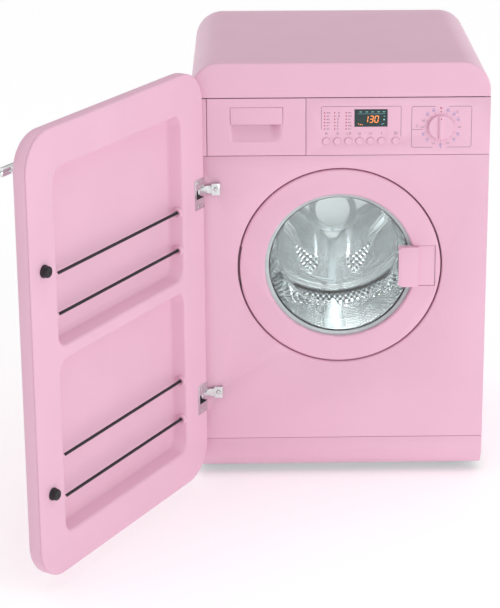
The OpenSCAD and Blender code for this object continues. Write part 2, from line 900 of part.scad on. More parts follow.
module lifters() {
  color([0.86, 0.88, 0.88]) for (a = [0, 120, 240])
    translate([0, 0, porthole_z]) rotate([0, a, 0]) lifter();
}

module drum_shaft() {
  arm_l = drum_r - 8;
  color(grey) {
    bar_y(0, drum_end_y + 0.1, porthole_z, hub_r - 6, spider_t);
    bar_y(0, drum_end_y + 0.1, porthole_z, shaft_r, pulley_y + pulley_w + 6 - drum_end_y);
    for (a = [30, 150, 270]) translate([0, 0, porthole_z]) rotate([0, a, 0])
      translate([0, drum_end_y + 0.1, -14]) cube([arm_l, spider_t - 4, 28]);
  }
}

module drum_pulley() {
  color(steel) difference() {
    union() {
      turned() polygon([
        [pulley_r - 8, pulley_y], [pulley_r, pulley_y], [pulley_r, pulley_y + pulley_w],
        [pulley_r - 8, pulley_y + pulley_w]
      ]);
      turned() polygon([
        [shaft_r + run, pulley_y], [hub_r - 10, pulley_y], [hub_r - 10, pulley_y + pulley_w],
        [shaft_r + run, pulley_y + pulley_w]
      ]);
      for (a = [0:60:300]) translate([0, 0, porthole_z]) rotate([0, a, 0])
        translate([shaft_r + 4, pulley_y + 4, -7]) cube([pulley_r - shaft_r - 9, 10, 14]);
    }
  }
}

// ---- porthole door ----

ring_skin = 3;
ring_in = glass_r;
flange_y = ring_t - 8.7;
flange_glass_t = 3;

module knuckle_slot() {
  translate([port_pin_x - 22, port_pin_y - knuckle_r - 0.3, porthole_z - slot_half])
    cube([48, 40, 2 * slot_half]);
}

// A block the size of the handle's well, grown by a margin.
module pull_block(margin, y0, y1) {
  translate([pull_left - margin, y0, porthole_z - pull_h / 2 - margin])
    cube([pull_w + 2 * margin, y1 - y0, pull_h + 2 * margin]);
}

module porthole_ring() {
  color(pink) {
    difference() {
      union() {
        turned() difference() {
          union() {
            translate([ring_in, ring_edge]) square([porthole_r - ring_in, ring_t - ring_edge]);
            translate([ring_in + ring_edge, 0]) square([porthole_r - ring_in - 2 * ring_edge, ring_t]);
            for (r = [ring_in + ring_edge, porthole_r - ring_edge])
              translate([r, ring_edge]) circle(r = ring_edge, $fn = 48);
          }
          translate([ring_in + 7, ring_skin + 1]) square([porthole_r - ring_in - 10, ring_t]);
          translate([0, ring_t - 9]) square([ring_in + 8, 20]);
        }
        intersection() {
          pull_block(pull_gap + 2, 1, pull_well + 2);
          turned() translate([ring_in + 2, 0]) square([porthole_r - ring_in - 4, ring_t]);
        }
      }
      pull_block(pull_gap, -1, pull_well);
      knuckle_slot();
    }
    pin_l = pull_h + 2 * pull_gap + 2;
    post(pull_pin_x, pull_pin_y, porthole_z - pin_l / 2, pull_pin_r, pin_l);
  }
}

// The grey frame that clamps the bowl's flange from behind.
module porthole_back() {
  color(grey) difference() {
    turned() polygon([
      [ring_in - 3, flange_y + flange_glass_t + 0.2], [ring_in + 7.5, flange_y + flange_glass_t + 0.2],
      [ring_in + 7.5, ring_t + 0.3],
      [porthole_r - 6, ring_t + 0.3], [porthole_r - 6, ring_t + 3], [ring_in - 3, ring_t + 3]
    ]);
    knuckle_slot();
  }
}

module glass_bowl() {
  t = bowl_wall;
  r1 = ring_in - 4;
  corner = 26;
  rim = r1 - 20;
  bend_y = bowl_d - corner - 4;
  color([0.75, 0.82, 0.82, 0.4]) turned() difference() {
    union() {
      translate([0, flange_y]) square([ring_in + 6.5, flange_glass_t]);
      polygon([[0, flange_y], [r1, flange_y], [rim + corner * 0.02, bend_y], [0, bend_y]]);
      translate([0, bend_y - 1]) square([rim - corner, corner + 5]);
      intersection() {
        translate([rim - corner, bend_y]) circle(r = corner, $fn = 64);
        translate([rim - corner - 1, bend_y - 1]) square([corner + 2, corner + 5]);
      }
    }
    polygon([[0, flange_y - 1], [r1 - t, flange_y - 1], [rim - t, bend_y], [0, bend_y]]);
    translate([0, bend_y - 1]) square([rim - corner, corner + 5 - t]);
    translate([rim - corner, bend_y]) circle(r = corner - t, $fn = 64);
  }
}

// The door's steel parts: two hinge leaves with the pin, and the latch hook.
module porthole_irons() {
  back_y = ring_t + 3;
  hook_x = lock_x + 4.5;
  leaf_t = 2.5;
  color(steel) {
    for (s = [-1, 1]) translate([port_pin_x, port_pin_y, porthole_z + s * knuckle_z - knuckle_h / 2]) {
      cylinder(r = knuckle_r, h = knuckle_h, $fn = 48);
      translate([0, knuckle_r - leaf_t, 0]) cube([24, leaf_t, knuckle_h]);
      translate([24 - leaf_t, knuckle_r - leaf_t, 0])
        cube([leaf_t, back_y - port_pin_y - knuckle_r + 2 * leaf_t + 0.3, knuckle_h]);
      translate([24 - leaf_t, back_y - port_pin_y + 0.3, 0]) cube([18, leaf_t, knuckle_h]);
    }
    post(port_pin_x, port_pin_y, porthole_z - knuckle_z - 10, pin_r, 2 * knuckle_z + 20);
    translate([hook_x, back_y + 0.3, porthole_z - 9]) cube([3, dish_d - ring_t + 9, 18]);
    translate([hook_x - 1.5, dish_d + 7.5, porthole_z - 9]) cube([2, 4.8, 18]);
    translate([hook_x - 24, back_y + 0.3, porthole_z - 9]) cube([25, 2, 18]);
  }
}

module porthole_handle() {
  lip = pull_w * 0.54;
  plate_t = pull_well - 3.5;
  color(pink) difference() {
    union() {
      pull_block(0, pull_gap, pull_gap + plate_t);
      intersection() {
        translate([pull_left, -pull_proud, porthole_z - pull_h / 2])
          cube([lip, pull_proud + plate_t, pull_h]);
        upright(-pull_proud, pull_proud + plate_t)
          translate([pull_left, porthole_z - pull_h / 2]) round_rect(pull_w, pull_h, 8);
      }
    }
    translate([pull_left - 1, 0.5 - pull_proud + 3, porthole_z - pull_h / 2 + 7])
      cube([lip - 9, 30, pull_h - 14]);
    post(pull_pin_x, pull_pin_y, porthole_z - body_w, pull_pin_r + run, 2 * body_w);
  }
}

// ---- outer door ----

// The door's outline, drawn upright from its hinge edge.
module door_outline(inset) {
  w = door_w - 2 * inset;
  h = door_top - door_bottom - 2 * inset;
  translate([inset, door_bottom + inset]) round_rect(w, h, door_r - inset);
}

module door_block(inset, front) {
  hull() {
    upright(front, -front) door_outline(inset);
    for (a = [30, 60, 90])
      upright(-door_t + door_edge - (door_edge - inset) * sin(a), 0.02)
        door_outline(door_edge - (door_edge - inset) * cos(a));
    upright(-door_t - door_bow + inset, 0.02) door_outline(door_edge + 52 + inset);
  }
}

// Notches that the hinge arms swing in.
module arm_notches(grow = 0) {
  for (z = hinge_heights)
    translate([-20, -pivot_out - 6.5 - grow, z - arm_w / 2 - 1.5 - grow])
      cube([20 + pivot_in + 24 + grow, pivot_out + 30, arm_w + 3 + 2 * grow]);
}

module door_shell() {
  on_door() color(pink) difference() {
    door_block(0, -door_t + door_edge);
    translate([0, 1, 0]) door_block(door_skin, -door_t + door_edge - 1);
    translate([-1, -liner_t, 0]) cube([door_w + 2, 10, body_h + 10]);
    arm_notches(cup_wall + 0.2);
  }
}

// One recess: a tray with sloping walls, grown by a wall on every side.
module recess(z0, z1, grow) {
  floor_grow = grow - recess_slope;
  hull() {
    upright(-0.5, 1) translate([recess_hinge_side - grow, z0 - grow])
      round_rect(recess_w + 2 * grow, z1 - z0 + 2 * grow, recess_r + grow);
    upright(-recess_d - grow, 0.5)
      translate([recess_hinge_side + recess_slope - grow, z0 + recess_slope - grow])
        round_rect(recess_w + 2 * floor_grow, z1 - z0 + 2 * floor_grow, recess_r + grow);
  }
}

module door_liner() {
  recess_ends = [[recess_low_z, ledge_z - ledge_h / 2], [ledge_z + ledge_h / 2, recess_high_z]];
  x1 = recess_hinge_side;
  x2 = door_w - recess_free_side;
  on_door() color(pink) difference() {
    union() {
      difference() {
        union() {
          upright(-liner_t, liner_t) door_outline(0);
          upright(-liner_t - 8, 8.5) difference() {
            door_outline(door_skin + 0.3);
            door_outline(door_skin + 2.3);
          }
          for (e = recess_ends) intersection() {
            recess(e[0], e[1], 2);
            translate([0, -100, 0]) cube([door_w, 100, body_h]);
          }
        }
        for (e = recess_ends) recess(e[0], e[1], 0);
      }
      for (z = cord_heights) {
        bar_x(x1 + 2, cord_y, z, boss_r, boss_l + 4);
        bar_x(x2 - 6 - boss_l, cord_y, z, boss_r * 0.6, boss_l + 4);
      }
    }
    arm_notches(cup_wall + 0.2);
    for (z = cord_heights) bar_x(x1 - 6, cord_y, z, cord_r + 0.2, recess_w + 12);
    for (z = hinge_heights, s = [-1, 1])
      bar_y(flange_screw_x, -12, z + s * flange_screw_z, screw_r - 0.1, 20);
    for (z = bumper_heights) bar_y(bumper_x, -12, z, bumper_stem_r + 0.2, 20);
  }
}

module door_cords() {
  l = recess_w + 4;
  on_door() color(dark) for (z = cord_heights)
    bar_x(recess_hinge_side - 2, cord_y, z, cord_r, l);
}

module door_bumpers() {
  on_door() color(dark) for (z = bumper_heights) {
    bar_y(bumper_x, 0, z, bumper_r, bumper_l);
    bar_y(bumper_x, -9, z, bumper_stem_r, 10);
  }
}

module door_handle() {
  y = -door_t - door_bow - bar_out;
  on_door() color(steel) {
    bar_x(bar_end - bar_l, y, bar_z, bar_r, bar_l);
    translate([bar_end, y, bar_z]) sphere(r = bar_r, $fn = 48);
    translate([bar_end - bar_l, y, bar_z]) sphere(r = bar_r, $fn = 48);
    difference() {
      for (x = [bar_end - 22, bar_end - bar_l + 22]) bar_y(x, y, bar_z, post_r, bar_out + door_bow);
      door_block(0, -door_t + door_edge);
    }
  }
}

// Steel cups in the door, with the pins that the arms turn on.
module hinge_cups() {
  on_door() color(steel) for (z = hinge_heights) {
    difference() {
      translate([1.2, -pivot_out - 6.5 - cup_wall, z - arm_w / 2 - 1.5 - cup_wall])
        cube([pivot_in + 22.8 + cup_wall, pivot_out + 6.5 + cup_wall, arm_w + 3 + 2 * cup_wall]);
      arm_notches();
    }
    difference() {
      translate([2, 0.1, z - flange_h / 2]) cube([flange_w, flange_t, flange_h]);
      translate([-2, -1, z - arm_w / 2 - 1.5]) cube([pivot_in + 26, 5, arm_w + 3]);
      for (s = [-1, 1]) bar_y(flange_screw_x, -1, z + s * flange_screw_z, screw_r + 0.2, 5);
    }
    post(pivot_in, -pivot_out, z - arm_w / 2 - 1.5 - cup_wall, hinge_pin_r, arm_w + 3 + 2 * cup_wall);
  }
}

// Blocks on the cabinet's front, each with a cranked arm out to the pin.
module hinge_blocks() {
  color(steel) for (z = hinge_heights) difference() {
    union() {
      translate([block_x, -block_t, z - block_h / 2]) cube([block_w, block_t, block_h]);
      translate([0, 0, z - arm_w / 2]) linear_extrude(arm_w) {
        polygon([
          [block_x + 1, -8.5], [block_x + 1, -3], [block_x - 11, -3], [pivot_x + 1.2, pivot_y + 3.8],
          [pivot_x - 1.6, pivot_y - 3.6], [block_x - 8, -8.5]
        ]);
        translate([pivot_x, pivot_y]) circle(r = knuckle_small_r, $fn = 48);
      }
    }
    post(pivot_x, pivot_y, z - arm_w, hinge_pin_r + run, 2 * arm_w);
    bar_y(block_x + block_w / 2, -block_t - 1, z, screw_r + 0.2, 20);
  }
}

// Screws of the hinge blocks and of the back panel.
module panel_screws() {
  color(steel) {
    for (z = hinge_heights) {
      bar_y(block_x + block_w / 2, -block_t - screw_head_t, z, screw_head_r, screw_head_t);
      bar_y(block_x + block_w / 2, -block_t, z, screw_r, block_t + 8);
    }
    for (x = [-half_w + 12, half_w - 12], z = [foot_h + 60, porthole_z, hood_z - 20])
      bar_y(x, body_d, z, screw_head_r, 2);
  }
}

// ---- controls ----

module knob() {
  color(pink) {
    difference() {
      bar_y(knob_x, -knob_proud + 3, knob_z, knob_r, knob_proud - 3 - 0.5);
      bar_y(knob_x, -2, knob_z, knob_r - 3, 2);
    }
    translate([knob_x - 3.5, -knob_proud, knob_z - knob_r + 1]) cube([7, 4, 2 * knob_r - 2]);
    bar_y(knob_x, -3, knob_z, 3, 19);
  }
}

module button(i) {
  color(pink) {
    bar_y(button_at(i), -button_proud, button_z, button_r, button_proud + skin + 1);
    bar_y(button_at(i), skin + 1, button_z, button_r + 1.2, 2);
    bar_y(button_at(i), skin + 3, button_z, 3, board_y - skin - 3 - button_travel - 0.3);
  }
}

module button_1() { button(0); }
module button_2() { button(1); }
module button_3() { button(2); }
module button_4() { button(3); }
module button_5() { button(4); }
module button_6() { button(5); }
module button_7() { button(6); }

module drawer_tray() {
  y0 = front_t + 0.3;
  bay = (tray_w - 4 * tray_wall) / 3;
  color([0.9, 0.9, 0.92]) difference() {
    union() {
      translate([tray_x, y0, tray_z]) cube([tray_w, tray_l, tray_h]);
      for (x = [tray_x + 6, tray_x + tray_w - 10])
        translate([x, y0 + 30, tray_z - slide_gap + 0.3]) cube([4, tray_l - 30, slide_gap]);
    }
    for (i = [0:2])
      translate([tray_x + tray_wall + i * (bay + tray_wall), y0 + tray_wall, tray_z + tray_wall])
        cube([bay, tray_l - 2 * tray_wall, tray_h]);
    translate([tray_x - 1, y0 + tray_l - 60, tray_z + tray_h * 0.6]) cube([tray_w + 2, 61, tray_h]);
  }
}

module siphon_cap() {
  bay = (tray_w - 4 * tray_wall) / 3;
  x = tray_x + 1.5 * bay + 2 * tray_wall;
  color([0.3, 0.5, 0.75])
    post(x, front_t + 150, tray_z + tray_wall + 0.1, bay / 2 - 6, tray_h - 22);
}

module drawer_front() {
  w = drawer_w;
  h = fascia_h - seam;
  color(pink) for (x = [tray_x + 18, tray_x + tray_w - 18])
    bar_y(x, scoop_d + 1, tray_z + 10, 5, front_t - scoop_d - 1);
  color(pink) difference() {
    translate([drawer_x, 0, fascia_z]) cube([w, front_t, h]);
    translate([drawer_x + skin, scoop_d + skin, fascia_z + skin])
      cube([w - 2 * skin, front_t, h - 2 * skin]);
    translate([drawer_x + skin, skin, grip_z + grip_h + 4])
      cube([w - 2 * skin, front_t, hood_z - grip_z - grip_h - 2 * skin - 4]);
    translate([grip_x, 0, grip_z]) rotate([90, 0, 90]) linear_extrude(grip_w) intersection() {
      translate([scoop_d - scoop_h - 6, 4]) circle(r = scoop_h + 6, $fn = facets);
      union() {
        translate([-1, -scoop_h]) square([scoop_d + 1, scoop_h]);
        translate([4, -1]) square([scoop_d, 14]);
      }
    }
    // A fine groove round the grip.
    upright(-1, 1.8) translate([grip_x, grip_z]) difference() {
      square([grip_w, grip_h]);
      translate([1, -1]) square([grip_w - 2, grip_h]);
    }
  }
}

base_pan();
feet();
side_left();
side_right();
back_panel();
front_panel();
hood();
plinth();
front_rail();
fascia();
fascia_strip();
display_window();
control_board();
drawer_housing();
fill_valve();
drain_pump();
drain_hose();
mains_gland();
door_lock();
gasket();
damper_tubes();
hinge_blocks();
panel_screws();
knob();
button_1();
button_2();
button_3();
button_4();
button_5();
button_6();
button_7();
drawer_tray();
drawer_front();
siphon_cap();
tub_front();
tub_rear();
weight_top();
weight_front();
heater();
motor();
damper_rods();
tub_springs();
belt();
motor_pulley();
drum_shell();
drum_back();
lifters();
drum_shaft();
drum_pulley();
porthole_ring();
porthole_back();
glass_bowl();
porthole_irons();
porthole_handle();
door_shell();
door_liner();
door_cords();
door_bumpers();
door_handle();
hinge_cups();
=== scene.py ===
# %% [markdown]
# # A front-loading washing machine with a storage door
# A retro washing machine is a steel box with a soft, rounded hood, a round glass porthole and, on this
# one, a tall outer door with two shelves in its inner face. The construction is already made as a fixed
# frame in metres. What is left is the skin: soft edges, glass, embossed steel, prints and lights.

import json
import math

import bmesh
import bpy
import numpy as np
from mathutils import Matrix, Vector
from mathutils.geometry import tessellate_polygon

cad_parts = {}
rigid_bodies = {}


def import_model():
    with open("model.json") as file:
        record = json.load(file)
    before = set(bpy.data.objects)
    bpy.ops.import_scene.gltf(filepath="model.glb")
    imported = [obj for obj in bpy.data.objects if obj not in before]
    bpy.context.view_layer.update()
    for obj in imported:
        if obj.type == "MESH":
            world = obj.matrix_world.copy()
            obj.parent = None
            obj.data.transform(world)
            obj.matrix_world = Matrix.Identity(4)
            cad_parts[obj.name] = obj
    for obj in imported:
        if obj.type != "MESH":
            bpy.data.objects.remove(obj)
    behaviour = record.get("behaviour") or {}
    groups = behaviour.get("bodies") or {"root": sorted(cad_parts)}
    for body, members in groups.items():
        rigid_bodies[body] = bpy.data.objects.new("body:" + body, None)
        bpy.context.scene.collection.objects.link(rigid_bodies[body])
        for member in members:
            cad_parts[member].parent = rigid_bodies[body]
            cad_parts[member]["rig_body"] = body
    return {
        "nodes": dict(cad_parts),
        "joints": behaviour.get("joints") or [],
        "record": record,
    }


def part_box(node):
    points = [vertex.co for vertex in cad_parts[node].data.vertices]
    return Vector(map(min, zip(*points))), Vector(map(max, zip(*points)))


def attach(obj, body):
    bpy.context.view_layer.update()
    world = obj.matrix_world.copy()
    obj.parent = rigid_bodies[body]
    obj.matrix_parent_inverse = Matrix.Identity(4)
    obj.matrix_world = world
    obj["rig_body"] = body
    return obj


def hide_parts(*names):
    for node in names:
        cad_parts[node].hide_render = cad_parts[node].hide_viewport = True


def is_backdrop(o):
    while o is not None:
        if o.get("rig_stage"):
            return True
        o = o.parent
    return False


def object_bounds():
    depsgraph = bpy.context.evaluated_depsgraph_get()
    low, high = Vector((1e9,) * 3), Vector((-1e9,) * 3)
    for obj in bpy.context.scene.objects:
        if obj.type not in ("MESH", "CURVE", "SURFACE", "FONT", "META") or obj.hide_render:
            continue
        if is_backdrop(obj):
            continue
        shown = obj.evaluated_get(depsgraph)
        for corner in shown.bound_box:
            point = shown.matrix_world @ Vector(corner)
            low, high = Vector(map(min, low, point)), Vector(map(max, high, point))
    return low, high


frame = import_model()
cad_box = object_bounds()
record = frame["record"]
nodes = frame["nodes"]
joints = {j["name"]: j for j in frame["joints"]}
slot_of = {s["node"]: s["material_slot"] for s in record["subparts"]}
MM = 0.001

# %% [markdown]
# ## Where things are
# Most places are read from the frame. The cabinet's front face is the plane Y = 0, and the sizes below
# are in millimetres, because that is what a workshop drawing of the machine would use.


# %% Places and sizes, in millimetres
def box_mm(node):
    """Lowest and highest corner of a CAD node, in millimetres."""
    low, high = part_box(node)
    return np.array(low) / MM, np.array(high) / MM


hood_low, hood_high = box_mm("hood")
ring_low, ring_high = box_mm("porthole_ring")
half_w = box_mm("front_panel")[1][0]
porthole_z = (ring_low[2] + ring_high[2]) / 2
depth = hood_high[1]
print("half width", half_w, "depth", depth, "porthole's middle", round(porthole_z, 1))

# %% [markdown]
# ## Finishes
# A real enamel isn't one flat colour: the spray leaves a faint orange peel, and the gloss varies with
# handling. So each finish is a Principled shader with noise that drives its colour, roughness and bump.
# The noise reads Object coordinates, so it stays put on the surface.


# %% Build a finish
finishes = {}


def new_material(name, colour, rough=0.4, metal=0.0, coat=0.0, coat_rough=0.05, spec=0.5):
    """A Principled material, filed under its name in finishes: (material, nodes, links, shader)."""
    made = bpy.data.materials.new(name)
    made.use_nodes = True
    tree = made.node_tree
    shader = tree.nodes["Principled BSDF"]
    shader.inputs["Base Color"].default_value = (*colour, 1.0)
    shader.inputs["Roughness"].default_value = rough
    shader.inputs["Metallic"].default_value = metal
    shader.inputs["Coat Weight"].default_value = coat
    shader.inputs["Coat Roughness"].default_value = coat_rough
    shader.inputs["Specular IOR Level"].default_value = spec
    finishes[name] = made
    return made, tree.nodes, tree.links, shader


def noise(n, l, size_mm, detail=2.0, stretch=(1, 1, 1)):
    """Noise on Object coordinates with features of about size_mm, drawn out by stretch."""
    place = n.new("ShaderNodeTexCoord")
    turn = n.new("ShaderNodeMapping")
    turn.inputs["Scale"].default_value = stretch
    made = n.new("ShaderNodeTexNoise")
    made.inputs["Scale"].default_value = 1 / (size_mm * MM)
    made.inputs["Detail"].default_value = detail
    l.new(place.outputs["Object"], turn.inputs["Vector"])
    l.new(turn.outputs["Vector"], made.inputs["Vector"])
    return made.outputs["Fac"]


def spread(n, l, source, low, high, from_low=0.3, from_high=0.7):
    """Maps a source's range onto low to high. The usual range is the middle of a noise."""
    made = n.new("ShaderNodeMapRange")
    for name, value in (("From Min", from_low), ("From Max", from_high), ("To Min", low), ("To Max", high)):
        made.inputs[name].default_value = value
    l.new(source, made.inputs["Value"])
    return made.outputs["Result"]


def vary_colour(n, l, shader, source, dark, light):
    """Mixes two tones of a colour by a source between 0 and 1."""
    made = n.new("ShaderNodeMix")
    made.data_type = "RGBA"
    made.inputs["A"].default_value = (*dark, 1.0)
    made.inputs["B"].default_value = (*light, 1.0)
    l.new(source, made.inputs["Factor"])
    l.new(made.outputs["Result"], shader.inputs["Base Color"])


def add_bump(n, l, shader, source, height_mm, strength=1.0, normal="Normal"):
    """Bump whose full swing is height_mm."""
    made = n.new("ShaderNodeBump")
    made.inputs["Distance"].default_value = height_mm * MM
    made.inputs["Strength"].default_value = strength
    l.new(source, made.inputs["Height"])
    l.new(made.outputs["Normal"], shader.inputs[normal])


def shade(colour, factor):
    """A colour made darker or lighter."""
    return tuple(min(1.0, c * factor) for c in colour)


print("finish helpers ready")

# %% [markdown]
# The cabinet is sprayed steel and the mouldings are plastic in the same pink. Under wide, pale lamps a
# strong gloss would wash the pink out to grey, so the base is nearly dull and only a thin clear coat
# shines. The steel's orange peel is a little coarser than the mould's texture.


# %% Pink enamel and pink plastic
PINK = (0.79, 0.485, 0.615)
TONE_MM, GLOSS_MM = 140, 60


def painted(name, peel_mm, peel_height, rough):
    """Pink paint: broad faint tone changes, uneven gloss, and an orange peel in the coat."""
    made, n, l, shader = new_material(name, PINK, rough, coat=0.12, coat_rough=0.08, spec=0.08)
    broad = spread(n, l, noise(n, l, TONE_MM), 0, 1)
    vary_colour(n, l, shader, broad, shade(PINK, 0.985), shade(PINK, 1.015))
    l.new(spread(n, l, noise(n, l, GLOSS_MM, 2), rough * 0.95, rough * 1.05), shader.inputs["Roughness"])
    add_bump(n, l, shader, noise(n, l, peel_mm, 1), peel_height, 0.25, "Coat Normal")
    return made


painted("pink_enamel", 1.8, 0.006, 0.34)
painted("pink_plastic", 1.0, 0.003, 0.38)
print("made", *finishes)

# %% [markdown]
# Bare metals: galvanised sheet with its crystal spangle, brushed stainless, nickel and chrome. Brushing
# is noise drawn out along one direction, and spangle is a Voronoi pattern of cells.


# %% Metals
def metal(name, colour, rough, grain_mm=0.6, stretch=(1, 1, 0.04), scratch=0.004, tone_mm=30):
    """Metal with a directional grain in its gloss and a fine bump."""
    made, n, l, shader = new_material(name, colour, rough, metal=1.0)
    grain = noise(n, l, grain_mm, 3, stretch)
    l.new(spread(n, l, grain, rough * 0.75, rough * 1.3), shader.inputs["Roughness"])
    vary_colour(n, l, shader, spread(n, l, noise(n, l, tone_mm, 3), 0, 1), shade(colour, 0.95), colour)
    add_bump(n, l, shader, grain, scratch, 0.5)
    return made


def spangled(name, colour, cell_mm=9):
    """Galvanised sheet: crystal cells of slightly different tone and gloss."""
    made, n, l, shader = new_material(name, colour, 0.42, metal=1.0)
    place = n.new("ShaderNodeTexCoord")
    cells = n.new("ShaderNodeTexVoronoi")
    cells.inputs["Scale"].default_value = 1 / (cell_mm * MM)
    l.new(place.outputs["Object"], cells.inputs["Vector"])
    split = n.new("ShaderNodeSeparateColor")
    l.new(cells.outputs["Color"], split.inputs["Color"])
    vary_colour(n, l, shader, split.outputs["Red"], shade(colour, 0.86), colour)
    l.new(spread(n, l, split.outputs["Green"], 0.32, 0.52, 0, 1), shader.inputs["Roughness"])
    return made


spangled("zinc_steel", (0.62, 0.63, 0.65))
metal("stainless", (0.70, 0.72, 0.73), 0.20, 0.8, (1, 0.05, 1))
metal("bright_steel", (0.68, 0.68, 0.69), 0.24, 0.5)
metal("chrome", (0.80, 0.81, 0.82), 0.07, 1.2, (1, 1, 1), 0.001)
metal("aluminium", (0.62, 0.63, 0.64), 0.38, 2.5, (1, 1, 1), 0.05)
print("made", *finishes)

# %% [markdown]
# Mouldings, rubber and concrete share one recipe: a fine grain in the gloss and bump, over tones that
# vary a little. Glass is a clear dielectric with a faint green.


# %% Plastics, rubber, stone, glass
def moulding(name, colour, rough, grain_mm=0.9, height=0.02, coat=0.0, tone_mm=25):
    """Moulded plastic or rubber: a fine grain, and tone and gloss that vary a little."""
    made, n, l, shader = new_material(name, colour, rough, coat=coat)
    tones = spread(n, l, noise(n, l, tone_mm, 3), 0, 1)
    vary_colour(n, l, shader, tones, shade(colour, 0.9), shade(colour, 1.06))
    grain = noise(n, l, grain_mm, 2)
    l.new(spread(n, l, grain, rough * 0.85, min(1, rough * 1.15)), shader.inputs["Roughness"])
    add_bump(n, l, shader, grain, height, 0.5)
    return made


def clear_glass(name, colour, rough, wave_mm=60):
    """Pressed glass with a faint waviness."""
    made, n, l, shader = new_material(name, colour, rough)
    shader.inputs["Transmission Weight"].default_value = 0.985
    shader.inputs["IOR"].default_value = 1.47
    add_bump(n, l, shader, noise(n, l, wave_mm, 1), 0.08, 0.5)
    return made


# Each row is the colour and roughness and, where they aren't the usual ones, the grain, its height and
# the coat.
MOULDINGS = {
    "grey_plastic": ((0.42, 0.45, 0.46), 0.40),
    "white_plastic": ((0.80, 0.80, 0.82), 0.40),
    "blue_plastic": ((0.08, 0.20, 0.48), 0.35),
    "black_plastic": ((0.012, 0.012, 0.014), 0.42),
    "tub_plastic": ((0.26, 0.28, 0.31), 0.55, 1.4, 0.05),
    "lifter_plastic": ((0.44, 0.49, 0.50), 0.35, 1.2, 0.01, 0.1),
    "rubber_grey": ((0.62, 0.66, 0.66), 0.45, 0.7, 0.03),
    "rubber_black": ((0.010, 0.010, 0.012), 0.50, 0.7, 0.02),
    "concrete": ((0.34, 0.33, 0.31), 0.90, 2.5, 0.4),
    "display_dark": ((0.003, 0.024, 0.028), 0.30, 3.0, 0.001, 0.1),
    "circuit": ((0.02, 0.14, 0.06), 0.40),
}
for name, values in MOULDINGS.items():
    moulding(name, *values)
clear_glass("bowl_glass", (0.93, 0.975, 0.965), 0.01)
print("made", *MOULDINGS, "bowl_glass")

# %% [markdown]
# The outer door's elastic cords have a braided cover: two sets of strands cross at a slant. So the
# pattern is two waves in the cord's own UV map, one leaning each way, and the higher one shows. The
# higher strands are painted lighter and the lower ones darker: a painted sheen and shade.


# %% Braided cover
def braided(name, colour, lean_deg=38, strands=3.0):
    """A braid: the higher of two slanting waves over UV, as bump, and as colour with crests painted lighter
    (sheen) and dips darker (shade).
    """
    made, n, l, shader = new_material(name, colour, 0.62)
    place = n.new("ShaderNodeTexCoord")
    higher = n.new("ShaderNodeMath")
    higher.operation = "MAXIMUM"
    for i, lean in enumerate((1, -1)):
        turn = n.new("ShaderNodeMapping")
        turn.inputs["Rotation"].default_value = (0, 0, lean * math.radians(lean_deg))
        wave = n.new("ShaderNodeTexWave")
        wave.inputs["Scale"].default_value = strands
        l.new(place.outputs["UV"], turn.inputs["Vector"])
        l.new(turn.outputs["Vector"], wave.inputs["Vector"])
        l.new(wave.outputs["Fac"], higher.inputs[i])
    height = higher.outputs["Value"]
    add_bump(n, l, shader, height, 0.35, 0.9)
    # Crests painted lighter and dips darker: a painted sheen and shade on the strands.
    vary_colour(n, l, shader, height, shade(colour, 0.5), shade(colour, 2.6))
    return made


finishes["elastic_cord"] = braided("braided_cover", (0.010, 0.010, 0.012))
for node, part in nodes.items():
    part.data.materials.clear()
    part.data.materials.append(finishes[slot_of[node]])
print(len(finishes), "finishes on", len(nodes), "nodes")

# %% [markdown]
# ## Making surfaces
# Every new piece is a grid of points worked out by a formula. Helpers list a grid's faces, join several
# grids, turn them into a mesh, and hand the piece to its body.


# %% From grids of points to a piece
def grid_faces(rows, cols, wrap_cols=False, start=0):
    """Quads between neighbouring points of a rows x cols grid; the last column may meet the first."""
    r = np.arange(rows - 1)[:, None]
    c = np.arange(cols if wrap_cols else cols - 1)[None, :]
    d = (c + 1) % cols
    quads = np.stack([r * cols + c, r * cols + d, (r + 1) * cols + d, (r + 1) * cols + c], -1)
    return (quads.reshape(-1, 4) + start).tolist()


def joined(parts, place=np.asarray):
    """Several closed-round grids as one (points, faces). A part is (grid, rows that get a flat cap)."""
    points, faces, start = [], [], 0
    for grid, caps in parts:
        rows, cols = grid.shape[:2]
        faces += grid_faces(rows, cols, True, start)
        for row in caps:
            first = start + row % rows * cols
            faces.append(list(range(first, first + cols)))
        points.append(grid.reshape(-1, 3))
        start += rows * cols
    return place(np.concatenate(points)), faces


def border(rows, cols):
    """The points round the edge of a grid, in order."""
    ring = list(range(cols)) + [i * cols + cols - 1 for i in range(1, rows)]
    ring += [(rows - 1) * cols + i for i in range(cols - 2, -1, -1)]
    return ring + [i * cols for i in range(rows - 2, 0, -1)]


def make_mesh(name, points_mm, faces, smooth=True):
    """A mesh from points in millimetres and lists of corner numbers."""
    mesh = bpy.data.meshes.new(name)
    mesh.from_pydata((np.asarray(points_mm, float).reshape(-1, 3) * MM).tolist(), [], faces)
    mesh.validate()
    if smooth:
        mesh.shade_smooth()
    return mesh


def add_piece(name, mesh, body, slot, replaces=(), material=None):
    """Puts a mesh in the scene as a piece that rides on a body and stands for CAD nodes."""
    piece = bpy.data.objects.new(name, mesh)
    bpy.context.scene.collection.objects.link(piece)
    if mesh.materials:  # clearing would also forget which faces carry a second material
        mesh.materials.clear()
    mesh.materials.append(material or finishes[slot])
    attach(piece, body)
    if replaces:
        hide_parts(*replaces)
    return piece


def tidy_mesh(mesh, weld_mm=0.01):
    """Welds doubles and turns every face outwards."""
    work = bmesh.new()
    work.from_mesh(mesh)
    bmesh.ops.remove_doubles(work, verts=work.verts, dist=weld_mm * MM)
    bmesh.ops.recalc_face_normals(work, faces=work.faces)
    work.to_mesh(mesh)
    work.free()
    return mesh


def sharpen(mesh, angle=40):
    """Keeps edges sharper than the angle crisp in an otherwise smooth mesh."""
    mesh.set_sharp_from_angle(angle=math.radians(angle))
    return mesh


